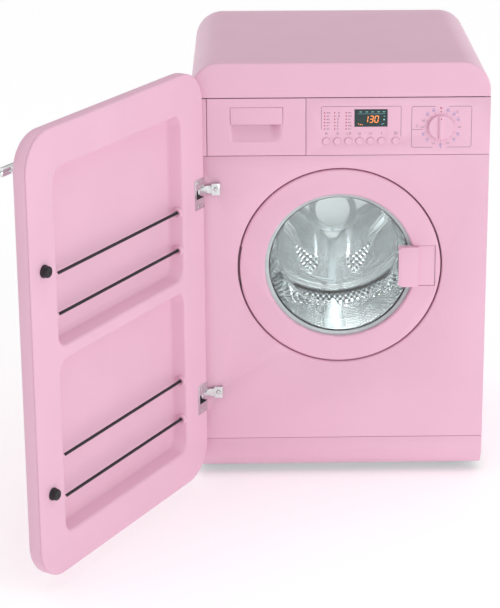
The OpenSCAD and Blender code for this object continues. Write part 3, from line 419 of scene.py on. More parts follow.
def shaped(name, parts, place=np.asarray, crisp=40, weld_mm=0.01):
    """A welded mesh of joined grids with crisp edges."""
    return sharpen(tidy_mesh(make_mesh(name, *joined(parts, place)), weld_mm), crisp)


print("surface helpers ready")

# %% [markdown]
# Two shapes come back again and again. A turned surface is a profile of (radius, height) spun round an
# axis. A lofted surface joins a row of rounded rectangles, each a little further in and further back.


# %% Turned and lofted surfaces
def turned_points(profile, count=96):
    """Spins (radius, height) pairs round the third axis: point = (r cos a, r sin a, h)."""
    profile = np.asarray(profile, float)
    angle = np.linspace(0, 2 * np.pi, count, endpoint=False)
    r, h = profile[:, 0][:, None], profile[:, 1][:, None]
    return np.stack([r * np.cos(angle), r * np.sin(angle), h + 0 * angle], -1)


def turned_mesh(name, profile, centre, count=96):
    """A turned piece on an axis along +Y; its profile may start and end on the axis."""
    laid = turned_points(profile, count)[..., [0, 2, 1]] + np.asarray(centre, float)
    return shaped(name, [(laid, ())])


def arc(centre, radius, start, end, count=7):
    """Points of an arc in a profile, angles in degrees."""
    a = np.radians(np.linspace(start, end, count))
    return np.stack([centre[0] + radius * np.cos(a), centre[1] + radius * np.sin(a)], -1).tolist()


def rounded_loop(centre, size, radius, steps=14):
    """A rounded rectangle: four quarter arcs of the radius round the corners' centres, anticlockwise."""
    half = np.asarray(size, float) / 2
    radius = min(radius, *(half - 0.01))
    corners = np.array([[1, 1], [-1, 1], [-1, -1], [1, -1]]) * (half - radius)
    turn = np.radians(np.linspace(0, 90, steps))[None, :] + np.radians([0, 90, 180, 270])[:, None]
    arcs = np.stack([np.cos(turn), np.sin(turn)], -1) * radius + corners[:, None, :]
    return arcs.reshape(-1, 2) + np.asarray(centre, float)


def loft(centre, size, radius, profile, floor_radius=1.0):
    """Rounded rectangles that follow a profile of (inset, y): size less twice the inset, at depth y."""
    rows = []
    for inset, y in profile:
        loop = rounded_loop(centre, np.asarray(size) - 2 * inset, max(radius - inset, floor_radius))
        rows.append(np.stack([loop[:, 0], np.full(len(loop), y), loop[:, 1]], -1))
    return np.array(rows)


print("turned and lofted surfaces ready")

# %% [markdown]
# ## The hood
# The hood is one pressing: an arch with rounded shoulders, a crisp but soft front edge, and a top that
# falls slightly to the back. Its surface is an arch-shaped outline carried from front to back. The
# outline shrinks a little at both ends, which makes the soft edges, and each end drops to the hood's foot
# as a flat wall. A second, smaller copy inside it gives the sheet its thickness.


# %% Hood
HOOD_R_FRONT, HOOD_R_BACK, HOOD_EDGE, HOOD_FALL, HOOD_WALL = 58.0, 60.0, 4.0, 10.0, 2.0
FOOT_SHARE = 0.98
hood_foot, hood_top = hood_low[2], hood_high[2]


def arch(inset, share, steps=22):
    """The hood's outline at a share of its depth: up one side, over the top, down the other."""
    radius = HOOD_R_FRONT + (HOOD_R_BACK - HOOD_R_FRONT) * share - inset
    half = half_w - inset
    top = hood_top - HOOD_FALL * share - inset
    a = np.radians(np.linspace(180, 90, steps))
    left = np.stack([radius * np.cos(a) - half + radius, radius * np.sin(a) + top - radius], -1)
    foot = np.array([[-half, hood_foot]])
    return np.concatenate([foot, left, left[::-1] * (-1, 1), foot * (-1, 1)])


def hood_surface():
    """Rows of arches: a soft front edge, the long top, a soft back edge, and both ends' flat walls."""
    turn = np.radians(np.linspace(0, 90, 6))
    edge = [(HOOD_EDGE * (1 - math.sin(a)), HOOD_EDGE * (1 - math.cos(a))) for a in turn]
    rows = edge + [(0, y) for y in np.linspace(HOOD_EDGE, depth - HOOD_EDGE, 24)[1:-1]]
    rows += [(inset, depth - y) for inset, y in edge[::-1]]
    made = []
    for inset, y in rows:
        line = arch(inset, y / depth)
        made.append(np.stack([line[:, 0], np.full(len(line), y), line[:, 1]], -1))
    ends = np.array([made[0], made[-1]]) * (FOOT_SHARE, 1, 0) + (0, 0, hood_foot)
    return np.array([ends[0], *made, ends[1]])


def sheet_faces(rows, cols):
    """Faces of a sheet with two sides: outer grid, inner grid behind it, and the strip round both."""
    n, ring = rows * cols, border(rows, cols)
    strip = [[a, b, n + b, n + a] for a, b in zip(ring, ring[1:] + ring[:1])]
    return grid_faces(rows, cols) + grid_faces(rows, cols, start=n) + strip


outer = hood_surface()
middle = np.array([0, depth / 2, hood_foot])
shrink = 1 - HOOD_WALL / np.array([half_w, depth / 2, hood_top - hood_foot])
inner = (outer - middle) * shrink + middle
hood_mesh = tidy_mesh(make_mesh("hood_pressing", [outer, inner], sheet_faces(*outer.shape[:2])), 0.001)
add_piece("hood_pressing", sharpen(hood_mesh, 50), "cabinet", "pink_enamel", ["hood"])
print("hood", len(hood_mesh.polygons), "faces")

# %% [markdown]
# ## Softened copies of flat parts
# Panels, ring, fascia and brackets already have their true shape, but a pressed or moulded edge is never
# razor sharp. A copy of each is welded, its flat faces are joined, and a small bevel catches the light.


# %% Soft edges on the panels
def soften(node, width_mm):
    """A welded copy of a CAD node with a narrow bevel on its sharp edges, which stands for the node."""
    source = nodes[node]
    mesh = source.data.copy()
    mesh.name = node + "_soft"
    work = bmesh.new()
    work.from_mesh(mesh)
    bmesh.ops.remove_doubles(work, verts=work.verts, dist=0.005 * MM)
    bmesh.ops.dissolve_limit(work, angle_limit=math.radians(1.0), verts=work.verts, edges=work.edges)
    work.to_mesh(mesh)
    work.free()
    mesh.shade_smooth()
    piece = add_piece(mesh.name, mesh, source["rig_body"], slot_of[node], [node])
    bevel = piece.modifiers.new("edge", "BEVEL")
    bevel.width = width_mm * MM
    bevel.segments = 2
    bevel.limit_method = "ANGLE"
    bevel.angle_limit = math.radians(35)
    bevel.harden_normals = True
    bevel.use_clamp_overlap = True
    return piece


EDGE_WIDTHS = {
    "fascia": 0.5,
    "fascia_strip": 0.5,
    "porthole_handle": 1.6,
    "porthole_ring": 0.6,
    "hinge_blocks": 0.6,
    "hinge_cups": 0.25,
    "plinth": 0.5,
    "front_panel": 0.25,
}
for node, width in EDGE_WIDTHS.items():
    made = soften(node, width)
    print(made.name, len(made.data.polygons), "faces")

# %% [markdown]
# ## The outer door
# The door swings on two pins. In its own frame X runs from the hinge edge, Y = 0 is its inner face and
# Z is up, so its shapes are written there and then turned by the angle that it stands open.

# %% The door's own frame
hinge = joints["outer_door_hinge"]
# The hinge's lowest limit shuts the door, so at rest it stands open by as much.
OPEN = math.radians(hinge["range_deg"][0])
PIVOT = np.array(hinge["pos_m"][:2]) / MM
# The pin lies this far in from the hinge edge and this far out from the inner face.
PIN_IN, PIN_OUT = 6.5, 10.0
# The door is this much narrower than the cabinet at each side.
DOOR_GAP = 4.0
DOOR_W = 2 * (half_w - DOOR_GAP)
door_low, door_high = box_mm("door_shell")
DOOR_BOTTOM, DOOR_TOP = door_low[2], door_high[2]
# Corner radius, thickness at the rim, the outer face's bow and the radius of its edge.
DOOR_R, DOOR_T, DOOR_BOW, DOOR_EDGE = 70.0, 38.0, 9.0, 18.0
LINER_T, SHEET = 3.0, 2.0
door_centre = (DOOR_W / 2, (DOOR_BOTTOM + DOOR_TOP) / 2)
door_size = (DOOR_W, DOOR_TOP - DOOR_BOTTOM)


def on_door(points):
    """Turns points from the door's own frame to where the door stands, about its pin."""
    points = np.asarray(points, float)
    x, y = points[..., 0] - PIN_IN, points[..., 1] + PIN_OUT
    c, s = math.cos(OPEN), math.sin(OPEN)
    return np.stack([PIVOT[0] + x * c - y * s, PIVOT[1] + x * s + y * c, points[..., 2]], -1)


print("door", round(DOOR_W), "x", round(door_size[1]), "mm, open", round(math.degrees(-OPEN)), "degrees")

# %% [markdown]
# The outer skin is lofted: straight sides, a quarter-round edge and a gentle bow to a flat middle. Steel
# hinge cups sit in notches at the hinge edge, so two small boxes are cut out of it, and of the liner.
# Solidify gives both sheets their thickness, because their insides need no shape of their own.


# %% Cut and thicken a sheet
block_low, block_high = box_mm("hinge_blocks")
HINGE_IN = 12.0
HINGE_Z = (block_low[2] + HINGE_IN, block_high[2] - HINGE_IN)
NOTCH_X, NOTCH_Y, NOTCH_HALF = (-20.0, 31.7), (-17.7, 20.0), 10.7
BOX_FACES = [[0, 1, 3, 2], [4, 6, 7, 5], [0, 4, 5, 1], [2, 3, 7, 6], [0, 2, 6, 4], [1, 5, 7, 3]]


def with_modifier(mesh, kind, **settings):
    """The mesh that a modifier makes of a mesh."""
    body = bpy.data.objects.new("work", mesh)
    bpy.context.scene.collection.objects.link(body)
    modifier = body.modifiers.new("work", kind)
    for key, value in settings.items():
        setattr(modifier, key, value)
    bpy.context.view_layer.update()
    made = bpy.data.meshes.new_from_object(body.evaluated_get(bpy.context.evaluated_depsgraph_get()))
    bpy.data.objects.remove(body)
    return made


def cut_notches(mesh):
    """Cuts the hinge cups' boxes out of a door mesh and returns the new mesh."""
    for z in HINGE_Z:
        corners = [[x, y, z + k] for x in NOTCH_X for y in NOTCH_Y for k in (-NOTCH_HALF, NOTCH_HALF)]
        box = tidy_mesh(make_mesh("knife", on_door(corners), BOX_FACES, False))
        knife = bpy.data.objects.new("knife", box)
        bpy.context.scene.collection.objects.link(knife)
        mesh = with_modifier(mesh, "BOOLEAN", object=knife, operation="DIFFERENCE", solver="MANIFOLD")
        bpy.data.objects.remove(knife)
    return mesh


def door_sheet(name, mesh, crisp, node):
    """Thickens a door sheet inwards, notches it and hands it to the door."""
    made = cut_notches(with_modifier(mesh, "SOLIDIFY", thickness=SHEET * MM, offset=-1))
    made.shade_smooth()
    add_piece(name, sharpen(made, crisp), "outer_door", "pink_plastic", [node])
    print(name, len(made.polygons), "faces")


# %% Outer skin
BOW_IN = 66.0


def door_skin_profile():
    """(inset, y): up the side, an elliptical edge, then the bow as a quarter sine to its full height."""
    foot = -LINER_T - 1.0
    side = [(1.8, foot), (0.5, foot - 0.3), (0.0, foot - 1.2), (0.0, -DOOR_T + DOOR_EDGE)]
    turn = np.radians(np.linspace(0, 78, 9))[1:]
    edge = [(DOOR_EDGE * (1 - math.cos(a)), -DOOR_T + DOOR_EDGE * (1 - math.sin(a))) for a in turn]
    x, y = edge[-1]
    rise = DOOR_T + DOOR_BOW + y
    bow = [(x + (BOW_IN - x) * t, y - rise * math.sin(t * math.pi / 2)) for t in np.linspace(0, 1, 14)[1:]]
    return side + edge + bow


skin_grid = loft(door_centre, door_size, DOOR_R, door_skin_profile())
skin = tidy_mesh(make_mesh("door_skin", *joined([(skin_grid, (-1,))], on_door)))
door_sheet("door_skin", skin, 35, "door_shell")

# %% [markdown]
# The liner is the face that shows: a flat frame with two trays pressed into it and a ledge between
# them. Each tray's wall is an arc, a straight slope and another arc, swept round a rounded rectangle.
# The flat frame between them is filled in as one polygon with two holes.

# %% Liner with its two trays
RECESS_X = (78.0, DOOR_W - 79.0)
LEDGE_Z, LEDGE_H = porthole_z - 5, 26.0
RECESS_ENDS = ((DOOR_BOTTOM + 74, LEDGE_Z - LEDGE_H / 2), (LEDGE_Z + LEDGE_H / 2, DOOR_TOP - 77))
RECESS_D, RECESS_SLOPE, RECESS_R = 34.0, 9.0, 24.0
LIP_R, FLOOR_R, RIM_W = 7.0, 11.0, 5.0


def tray_profile():
    """(inset, y) of a tray's wall: a lip arc, a slope of RECESS_SLOPE over RECESS_D, and a floor arc."""
    lean = math.atan2(RECESS_D, RECESS_SLOPE)
    turn = np.linspace(0, lean, 8)
    lip_start = LIP_R * (1 - math.cos(lean)) / math.tan(lean) - LIP_R * math.sin(lean)
    lip = [(lip_start + LIP_R * math.sin(a), -LIP_R * (1 - math.cos(a))) for a in turn]
    foot = (RECESS_D - FLOOR_R * (1 - math.cos(lean))) / math.tan(lean) + FLOOR_R * math.sin(lean)
    return lip + [(foot - FLOOR_R * math.sin(a), -RECESS_D + FLOOR_R * (1 - math.cos(a))) for a in turn[::-1]]


def rim_profile():
    """(inset, y) of the liner's outer rim: up its edge and round onto the face."""
    turn = np.radians(np.linspace(0, 90, 8))
    rounding = [(RIM_W * (1 - math.cos(a)), LINER_T * (math.sin(a) - 1)) for a in turn]
    return [(2.4, -LINER_T - 7), (0.8, -LINER_T)] + rounding


def liner_mesh():
    """The rim, two trays with flat floors, and the face between them, welded into one surface."""
    rim = loft(door_centre, door_size, DOOR_R, rim_profile())
    trays = []
    for low, high in RECESS_ENDS:
        centre, size = (sum(RECESS_X) / 2, (low + high) / 2), (RECESS_X[1] - RECESS_X[0], high - low)
        trays.append(loft(centre, size, RECESS_R, tray_profile(), RECESS_R))
    points, faces = joined([(rim, ())] + [(tray, (-1,)) for tray in trays])
    edges = [rim[-1]] + [tray[0] for tray in trays]
    fill = tessellate_polygon([[Vector(p) for p in edge] for edge in edges])
    faces += [[len(points) + i for i in tri] for tri in fill]
    return tidy_mesh(make_mesh("door_liner_face", on_door(np.concatenate([points, *edges])), faces), 0.02)


liner = liner_mesh()
if np.mean([p.normal.y for p in liner.polygons if p.area > 1e-3]) > 0:
    liner.flip_normals()
door_sheet("door_liner_face", liner, 50, "door_liner")

# %% [markdown]
# Each cord leaves the tray's wall through a low round boss, like a grommet moulded into the liner.

# %% Bosses round the cords
CORD_Z = (613.0, 535.0, 258.0, 175.0)
CORD_Y, CORD_R = -11.0, 3.0
BOSS_IN, BOSS_ROLL = 8.0, 1.5
BOSS_R_HINGE, BOSS_R_FREE = 10.2, 6.5


def boss_grid(x, z, toward, radius):
    """A turned grommet along the door's X: a flat ring with a rolled rim and a dished middle."""
    profile = [(radius, -8), (radius, 0.5)] + arc((radius - BOSS_ROLL, 0.5), BOSS_ROLL, 0, 90, 5)
    profile += [(CORD_R + 3.2, 1.6), (CORD_R + 1.6, 0.6), (CORD_R + 0.4, 0.0), (CORD_R + 0.4, -6)]
    turned = turned_points(profile, 40)
    return np.stack([x + toward * turned[..., 2], CORD_Y + turned[..., 0], z + turned[..., 1]], -1)


bosses = []
for z in CORD_Z:
    bosses.append((boss_grid(RECESS_X[0] + BOSS_IN, z, 1, BOSS_R_HINGE), ()))
    bosses.append((boss_grid(RECESS_X[1] - BOSS_IN, z, -1, BOSS_R_FREE), ()))
add_piece("cord_bosses", shaped("cord_bosses", bosses, on_door), "outer_door", "pink_plastic")
print("bosses", len(bosses))

# %% [markdown]
# The elastic cords run straight from boss to boss. Each is a tube with a UV map for its braid: along it
# one unit is one strand's width, and round it there are six strands.


# %% Cords
STRAND, STRANDS_ROUND, CORD_OVER = 3.0, 6, 1.0


def cord_tube(z, rings=220, sides=16):
    """A tube along the door's X between the bosses, with UV (length, round) in strand widths."""
    x = np.linspace(RECESS_X[0] - CORD_OVER, RECESS_X[1] + CORD_OVER, rings)[:, None]
    a = np.linspace(0, 2 * np.pi, sides + 1)[None, :]
    points = np.stack([x + 0 * a, CORD_Y + CORD_R * np.cos(a) + 0 * x, z + CORD_R * np.sin(a) + 0 * x], -1)
    return points, np.stack([x / STRAND + 0 * a, a / (2 * np.pi) * STRANDS_ROUND + 0 * x], -1)


def grid_mesh_uv(name, points, uv, caps=False):
    """A mesh of one grid that carries a UV map. Its seams are welded, and stay open in the UV only."""
    rows, cols = points.shape[:2]
    faces = grid_faces(rows, cols)
    if caps:
        faces += [list(range(cols - 1)), list(range((rows - 1) * cols, rows * cols - 1))]
    mesh = make_mesh(name, points, faces)
    layer = mesh.uv_layers.new(name="UVMap")
    corner = np.empty(len(mesh.loops), np.int32)
    mesh.loops.foreach_get("vertex_index", corner)
    layer.data.foreach_set("uv", uv.reshape(-1, 2)[corner].astype(np.float32).ravel())
    return tidy_mesh(mesh, 0.001)


for i, z in enumerate(CORD_Z):
    name = f"door_cord_{i + 1}"
    points, uv = cord_tube(z)
    cord = grid_mesh_uv(name, on_door(points), uv, True)
    add_piece(name, cord, "outer_door", "elastic_cord", ["door_cords"] if i == 0 else ())
print("cords", len(CORD_Z), "each", round(RECESS_X[1] - RECESS_X[0] + 2 * CORD_OVER), "mm")

# %% [markdown]
# ## The drum behind the glass
# The drum's back is pressed sheet: three arms stay proud of it, each between two sunk petals with drain
# holes, round a low hub, and there is a step down before its rim. The drum's wall is perforated, and each
# hole is a dimple pressed outwards, so the sheet glitters. Thousands of holes would be far too many
# faces, so they are a Voronoi pattern without randomness, on UV maps measured in hole pitches.


# %% Perforated steel
HOLE_PITCH, HOLE = 9.5, 2.5


def perforated(name, colour):
    """Steel with staggered holes: the distance to a cell's middle gives a dark hole and a soft dimple."""
    made, n, l, shader = new_material(name, colour, 0.22, metal=1.0)
    place = n.new("ShaderNodeTexCoord")
    cells = n.new("ShaderNodeTexVoronoi")
    cells.voronoi_dimensions = "2D"
    cells.inputs["Randomness"].default_value = 0.0
    cells.inputs["Scale"].default_value = 1.0
    l.new(place.outputs["UV"], cells.inputs["Vector"])
    share = HOLE / HOLE_PITCH
    away = cells.outputs["Distance"]
    sheet = spread(n, l, away, 0, 1, share * 0.85, share * 1.1)
    vary_colour(n, l, shader, sheet, (0.01, 0.012, 0.013), colour)
    add_bump(n, l, shader, spread(n, l, away, 0, 1, share * 0.8, 0.5), 2.2)
    return made


holed_steel = perforated("perforated_stainless", (0.80, 0.82, 0.83))
print("holes every", HOLE_PITCH, "mm")

# %% [markdown]
# The wall is turned from the mouth's rolled lip round to the back and returned on its outside. The part
# of it that carries holes gets the perforated steel as a second material.

# %% Drum wall
shell_low, shell_high = box_mm("drum_shell")
# Radii of the drum, its mouth, its rear corner and its front corner.
DRUM_R, MOUTH_R, CORNER, FRONT_R = 228.0, 166.0, 27.0, 13.0
BACK_R = DRUM_R - CORNER - 1
DRUM_FRONT, DRUM_END = shell_low[1] + 4, shell_high[1]
DRUM_SHEET, HOLES_FROM = 1.0, 22.0
WALL_START = 8


def drum_profile():
    """(radius, y): the sheet's inside from the back to the mouth's rolled lip, then its outside back."""
    t, seam = DRUM_SHEET, DRUM_FRONT + FRONT_R
    back, front = (DRUM_R - CORNER, DRUM_END - CORNER), (DRUM_R - FRONT_R, seam)
    inside = arc(back, CORNER - t, 90, 0, WALL_START + 1) + [(DRUM_R - t, seam)]
    inside += arc(front, FRONT_R - t, 0, -90)[1:]
    inside += [(MOUTH_R + 8, DRUM_FRONT + t)] + arc((MOUTH_R + 2.5, DRUM_FRONT - 1.5), 2.5, 90, 270, 9)
    outside = [(MOUTH_R + 8, DRUM_FRONT)] + arc(front, FRONT_R, -90, 0)
    return inside + outside + arc(back, CORNER, 0, 90, 9) + inside[:1]


def drum_sheet_mesh(count=192):
    """The turned sheet with UV in hole pitches, round the drum and along the profile."""
    profile = np.array(drum_profile())
    wall = np.linspace(profile[WALL_START], profile[WALL_START + 1], 30)
    profile = np.concatenate([profile[:WALL_START], wall, profile[WALL_START + 2 :]])
    along = np.cumsum(np.r_[0, np.hypot(*np.diff(profile, axis=0).T)])[:, None]
    a = np.linspace(0, 2 * np.pi, count + 1)[None, :]
    r, y = profile[:, 0][:, None], profile[:, 1][:, None]
    points = np.stack([r * np.cos(a), y + 0 * a, porthole_z + r * np.sin(a)], -1)
    diagonal = HOLE_PITCH * math.sqrt(2)
    turns = round(2 * np.pi * (DRUM_R - DRUM_SHEET) / diagonal)
    u, v = a / (2 * np.pi) * turns + 0 * y, along / diagonal + 0 * a
    mesh = grid_mesh_uv("drum_sheet", points, np.stack([u + v, v - u], -1))
    for face in mesh.polygons:
        out = face.normal.x * face.center.x + face.normal.z * (face.center.z - porthole_z * MM)
        face.material_index = int(out < 0 and face.center.y / MM > DRUM_FRONT + HOLES_FROM)
    return mesh


drum_sheet = drum_sheet_mesh()
add_piece("drum_sheet", drum_sheet, "drum", "stainless", ["drum_shell"])
drum_sheet.materials.append(holed_steel)
print("drum wall", len(drum_sheet.polygons), "faces")

# %% [markdown]
# The back is a height field over (radius, angle). A petal is the space round a short line, wide at the
# hub's end and narrow at the rim's, so the distance to that line says how deep a point lies in it.

# %% Pressed back
PETAL_START, PETAL_END = (64, -48), (49, -128)
PETAL_R, PETAL_TAPER, PETAL_SIDE = 37, 14, 19
STAND, PETAL_SINK = 11, 0.85
HUB_R, HUB_H, HUB_SIDE = 38, 9, 14
ARM_HALF, ARM_H = 20, 2.5
STEP_R, STEP_D, STEP_W = 160, 5, 16
# The last of these is the width of the rim that falls away to the wall; that band is painted black as shade.
HOLES_OUTSIDE, SHADE_RIM_W = 118, 6
back_y = box_mm("drum_back")[1][1] - 1.5


def soft_step(t):
    """0 to 1 with a level start and finish: 3t^2 - 2t^3."""
    t = np.clip(t, 0, 1)
    return t * t * (3 - 2 * t)


def petal_depth(x, z):
    """Distance into the nearest of six petals, two to each arm. Below nothing it is outside them."""
    d = np.full(np.shape(x), -999.0)
    for a in np.radians((0, 120, 240)):
        turned_x, turned_z = x * math.cos(a) + z * math.sin(a), -x * math.sin(a) + z * math.cos(a)
        for side in (-1, 1):
            start, end = np.array(PETAL_START) * (side, 1), np.array(PETAL_END) * (side, 1)
            line = end - start
            t = ((turned_x - start[0]) * line[0] + (turned_z - start[1]) * line[1]) / (line @ line)
            t = np.clip(t, 0, 1)
            away = np.hypot(turned_x - start[0] - t * line[0], turned_z - start[1] - t * line[1])
            d = np.maximum(d, PETAL_R - PETAL_TAPER * t - away)
    return d


def star_height(x, z):
    """How far the back stands proud: sunk petals, a hub, one ribbed arm, a step down and a round rim."""
    fall = soft_step(petal_depth(x, z) / PETAL_SIDE)
    r = np.hypot(x, z)
    hub = HUB_H * (1 - soft_step((r - HUB_R) / HUB_SIDE))
    step = STEP_D * soft_step((r - STEP_R) / 10) * (1 - soft_step((r - STEP_R - STEP_W) / 12))
    rim = np.clip((BACK_R - SHADE_RIM_W - r) / 8, 0, 1)
    arm = ARM_H * np.exp(-((np.abs(x) / ARM_HALF) ** 4)) * soft_step((r - HUB_R - 2) / 30) * (z < 0)
    return (STAND * (1 - PETAL_SINK * fall) + hub + arm - step) * np.sqrt(rim * (2 - rim))


def drum_star():
    """The back over (radius, angle). Its petals carry holes, material 1, and its rim is black, material 2:
    painted shade in the gap at the drum's seam.
    """
    r = np.concatenate([np.linspace(0, BACK_R - 20, 110), np.linspace(BACK_R - 18, BACK_R, 20)])[:, None]
    a = np.linspace(0, 2 * np.pi, 289)[None, :]
    x, z = r * np.cos(a), r * np.sin(a)
    points = np.stack([x, back_y - star_height(x, z), porthole_z + z], -1)
    mesh = grid_mesh_uv("drum_back_star", points, np.stack([x + z, z - x], -1) / (HOLE_PITCH * 1.45))
    for face in mesh.polygons:
        x_mm, z_mm = face.center.x / MM, face.center.z / MM - porthole_z
        far = math.hypot(x_mm, z_mm)
        holed = petal_depth(x_mm, z_mm) > 5 and far > HOLES_OUTSIDE
        # Faces in the rim band get black rubber: a painted shadow in the gap where the back meets the wall.
        face.material_index = 2 if far > BACK_R - SHADE_RIM_W else int(holed)
    return mesh


star = drum_star()
add_piece("drum_back_star", star, "drum", "stainless", ["drum_back"])
star.materials.append(holed_steel)
# Material 2 is black: the rim's painted shade.
star.materials.append(finishes["rubber_black"])
print("pressed back", len(star.polygons), "faces")

# %% [markdown]
# Three lifters carry the laundry up. Each is a hump on the drum's wall: half a wave across, and along the
# drum it rises quickly at the front, stays high and gets narrower and a little lower to the back end.


# %% Lifters
LIFTER_L, LIFTER_H, LIFTER_HALF, LIFTER_FOOT = 264.0, 50.0, 22.0, 8.0
# The shares of its width and height that it loses towards the back.
NARROWS, FALLS = 0.42, 0.25


def lifter_grid(turn):
    """A closed hump over (across, along), its foot on the wall, turned about the drum's axis."""
    wall = DRUM_R - 1.4
    along = np.linspace(0, 1, 40)[:, None]
    rise = (1 - np.abs(2 * along - 1) ** 7) ** 0.6
    across = np.linspace(-1, 1, 25)[None, :]
    x = across * (LIFTER_FOOT + LIFTER_HALF * rise) * (1 - NARROWS * along)
    y = DRUM_FRONT + HOLES_FROM + along * LIFTER_L + 0 * x
    lift = LIFTER_H * rise * (1 - FALLS * along) * np.cos(across * np.pi / 2) ** 0.8
    top = np.stack([x, y, lift - np.sqrt(wall**2 - x**2)], -1)
    under = np.stack([x, y, -np.sqrt((wall + 0.3) ** 2 - x**2)], -1)
    loop = np.concatenate([top, under[:, ::-1]], 1)
    c, s = math.cos(turn), math.sin(turn)
    px, pz = loop[..., 0], loop[..., 2]
    return np.stack([px * c - pz * s, loop[..., 1], porthole_z + px * s + pz * c], -1)


humps = [(lifter_grid(turn), (0, -1)) for turn in np.radians((0, 120, 240))]
lifters = shaped("lifters_moulded", humps, crisp=60)
add_piece("lifters_moulded", lifters, "drum", "lifter_plastic", ["lifters"])
print("lifters", len(humps))

# %% [markdown]
# ## The glass bowl
# The bowl is pressed glass: a thick flange behind the ring, a wall that narrows, and a nearly flat end
# that reaches into the drum. It is a turned profile, outside and inside, closed at the flange. The flange
# is an opaque pale grey-green: partly frosting and partly painted light for the look of the thick clear
# glass edge, because a clear one shows as a black line where its edge reflects the dark gap behind it.

# %% Bowl
bowl_low, bowl_high = box_mm("glass_bowl")
FLANGE_R = (bowl_high[2] - bowl_low[2]) / 2
BOWL_FRONT, BOWL_BACK = bowl_low[1], bowl_high[1]
SIDE_IN, END_IN, WALL, END_CURVE, ROLL, FLANGE_T = 10.5, 27.5, 5.0, 11.0, 8.0, 3.0
# Width and depth of the flange band that is frosted and painted pale.
FROST_PAINT_W, FROST_PAINT_D = 14.5, 12.0


def bowl_profile():
    """(radius, y) from the middle of the outside, round the flange, the rolled lip, and back inside."""
    side, corner = FLANGE_R - SIDE_IN, (FLANGE_R - END_IN - END_CURVE, BOWL_BACK - END_CURVE)
    rim = [(side, BOWL_FRONT + FLANGE_T), (FLANGE_R - 0.6, BOWL_FRONT + FLANGE_T)]
    rim += [(FLANGE_R, BOWL_FRONT + 2.4), (FLANGE_R, BOWL_FRONT + 0.6), (FLANGE_R - 0.6, BOWL_FRONT)]
    lip = arc((side - WALL + ROLL - 1.5, BOWL_FRONT + ROLL), ROLL, 270, 188, 9)
    outer, inner = arc(corner, END_CURVE, 90, 8, 14), arc(corner, END_CURVE - WALL, 8, 90, 14)
    return [(0, BOWL_BACK)] + outer + rim + lip + inner + [(0, BOWL_BACK - WALL)]


bowl = turned_mesh("glass_bowl_pressed", bowl_profile(), (0, 0, porthole_z), 160)
add_piece("glass_bowl_pressed", bowl, "porthole", "bowl_glass", ["glass_bowl"])
# Its opaque pale grey-green is painted light: it stands in for the look of the thick glass edge seen at a
# slant.
bowl.materials.append(moulding("glass_rim_frost_and_painted_light", (0.50, 0.57, 0.58), 0.12, 1.5, 0.002, 0.8))
for face in bowl.polygons:
    out = math.hypot(face.center.x, face.center.z - porthole_z * MM) / MM
    face.material_index = int(out > FLANGE_R - FROST_PAINT_W and face.center.y / MM < BOWL_FRONT + FROST_PAINT_D)
print("bowl", round(2 * FLANGE_R), "mm across,", round(BOWL_BACK - BOWL_FRONT), "mm deep")

# %% [markdown]
# ## Drawer front with its scooped grip
# The drawer's face is a height field. Under a flush plate it dips into a scoop: deepest at the plate's
# lower edge, rising in a quarter wave to the face, with soft ends. The bed behind the plate is a step,
# so the grid has two rows of points close together there. Round the plate runs a fine groove.

# %% Drawer front
front_lo, front_hi = box_mm("drawer_front")
GRIP_X = (front_lo[0] + 46, front_lo[0] + 151)
GRIP_Z = (front_lo[2] + 65, front_lo[2] + 99)
SCOOP_H, SCOOP_D, GROOVE, FACE_EDGE = 37.0, 15.0, 0.6, 1.0
SCOOP_LEFT, SCOOP_RIGHT = 7.0, 26.0


def grid_places(low, high, count, steps):
    """Even places from low to high, with closer ones at the round edges and a pair at each step."""
    near, pair = np.array([0.1, 0.3, 0.6]), np.array([-0.06, 0.06])
    extra = [low + near, high - near] + [step + pair for step in steps]
    return np.unique(np.concatenate([np.linspace(low, high, count), *extra]))


def drawer_depth(x, z):
    """Depth of the face in mm: the scoop below the plate, the plate's bed and the rounded outer edge."""
    ends = soft_step((x - GRIP_X[0]) / SCOOP_LEFT) * soft_step((GRIP_X[1] - x) / SCOOP_RIGHT)
    below = (GRIP_Z[0] - z) / SCOOP_H
    scoop = SCOOP_D * ends * np.cos(np.clip(below, 0, 1) * np.pi / 2) ** 0.8
    inside = (x > GRIP_X[0]) & (x < GRIP_X[1]) & (z > GRIP_Z[0]) & (z < GRIP_Z[1])
    sunk = np.where(z >= GRIP_Z[0], np.where(inside, SCOOP_D, 0), np.where(below < 1, scoop, 0))
    edge = np.minimum.reduce([x - front_lo[0], front_hi[0] - x, z - front_lo[2], front_hi[2] - z])
    bend = np.clip(1 - edge / FACE_EDGE, 0, 1)
    return sunk + FACE_EDGE * (1 - np.sqrt(1 - bend**2))


gx, gz = np.meshgrid(
    grid_places(front_lo[0], front_hi[0], 150, GRIP_X), grid_places(front_lo[2], front_hi[2], 110, GRIP_Z)
)
face = np.stack([gx, drawer_depth(gx, gz), gz], -1).reshape(-1, 3)
ring = border(*gx.shape)
back = face[ring] * (1, 0, 1) + (0, front_hi[1], 0)
face_n, ring_n = len(face), len(ring)
faces = grid_faces(*gx.shape) + [list(range(face_n, face_n + ring_n))]
for i in range(ring_n):
    following = (i + 1) % ring_n
    faces.append([ring[i], face_n + i, face_n + following, ring[following]])
drawer_mesh = tidy_mesh(make_mesh("drawer_face", np.concatenate([face, back]), faces), 0.001)
add_piece("drawer_face", sharpen(drawer_mesh, 30), "drawer", "pink_plastic", ["drawer_front"])
print("drawer face", len(drawer_mesh.polygons), "faces")


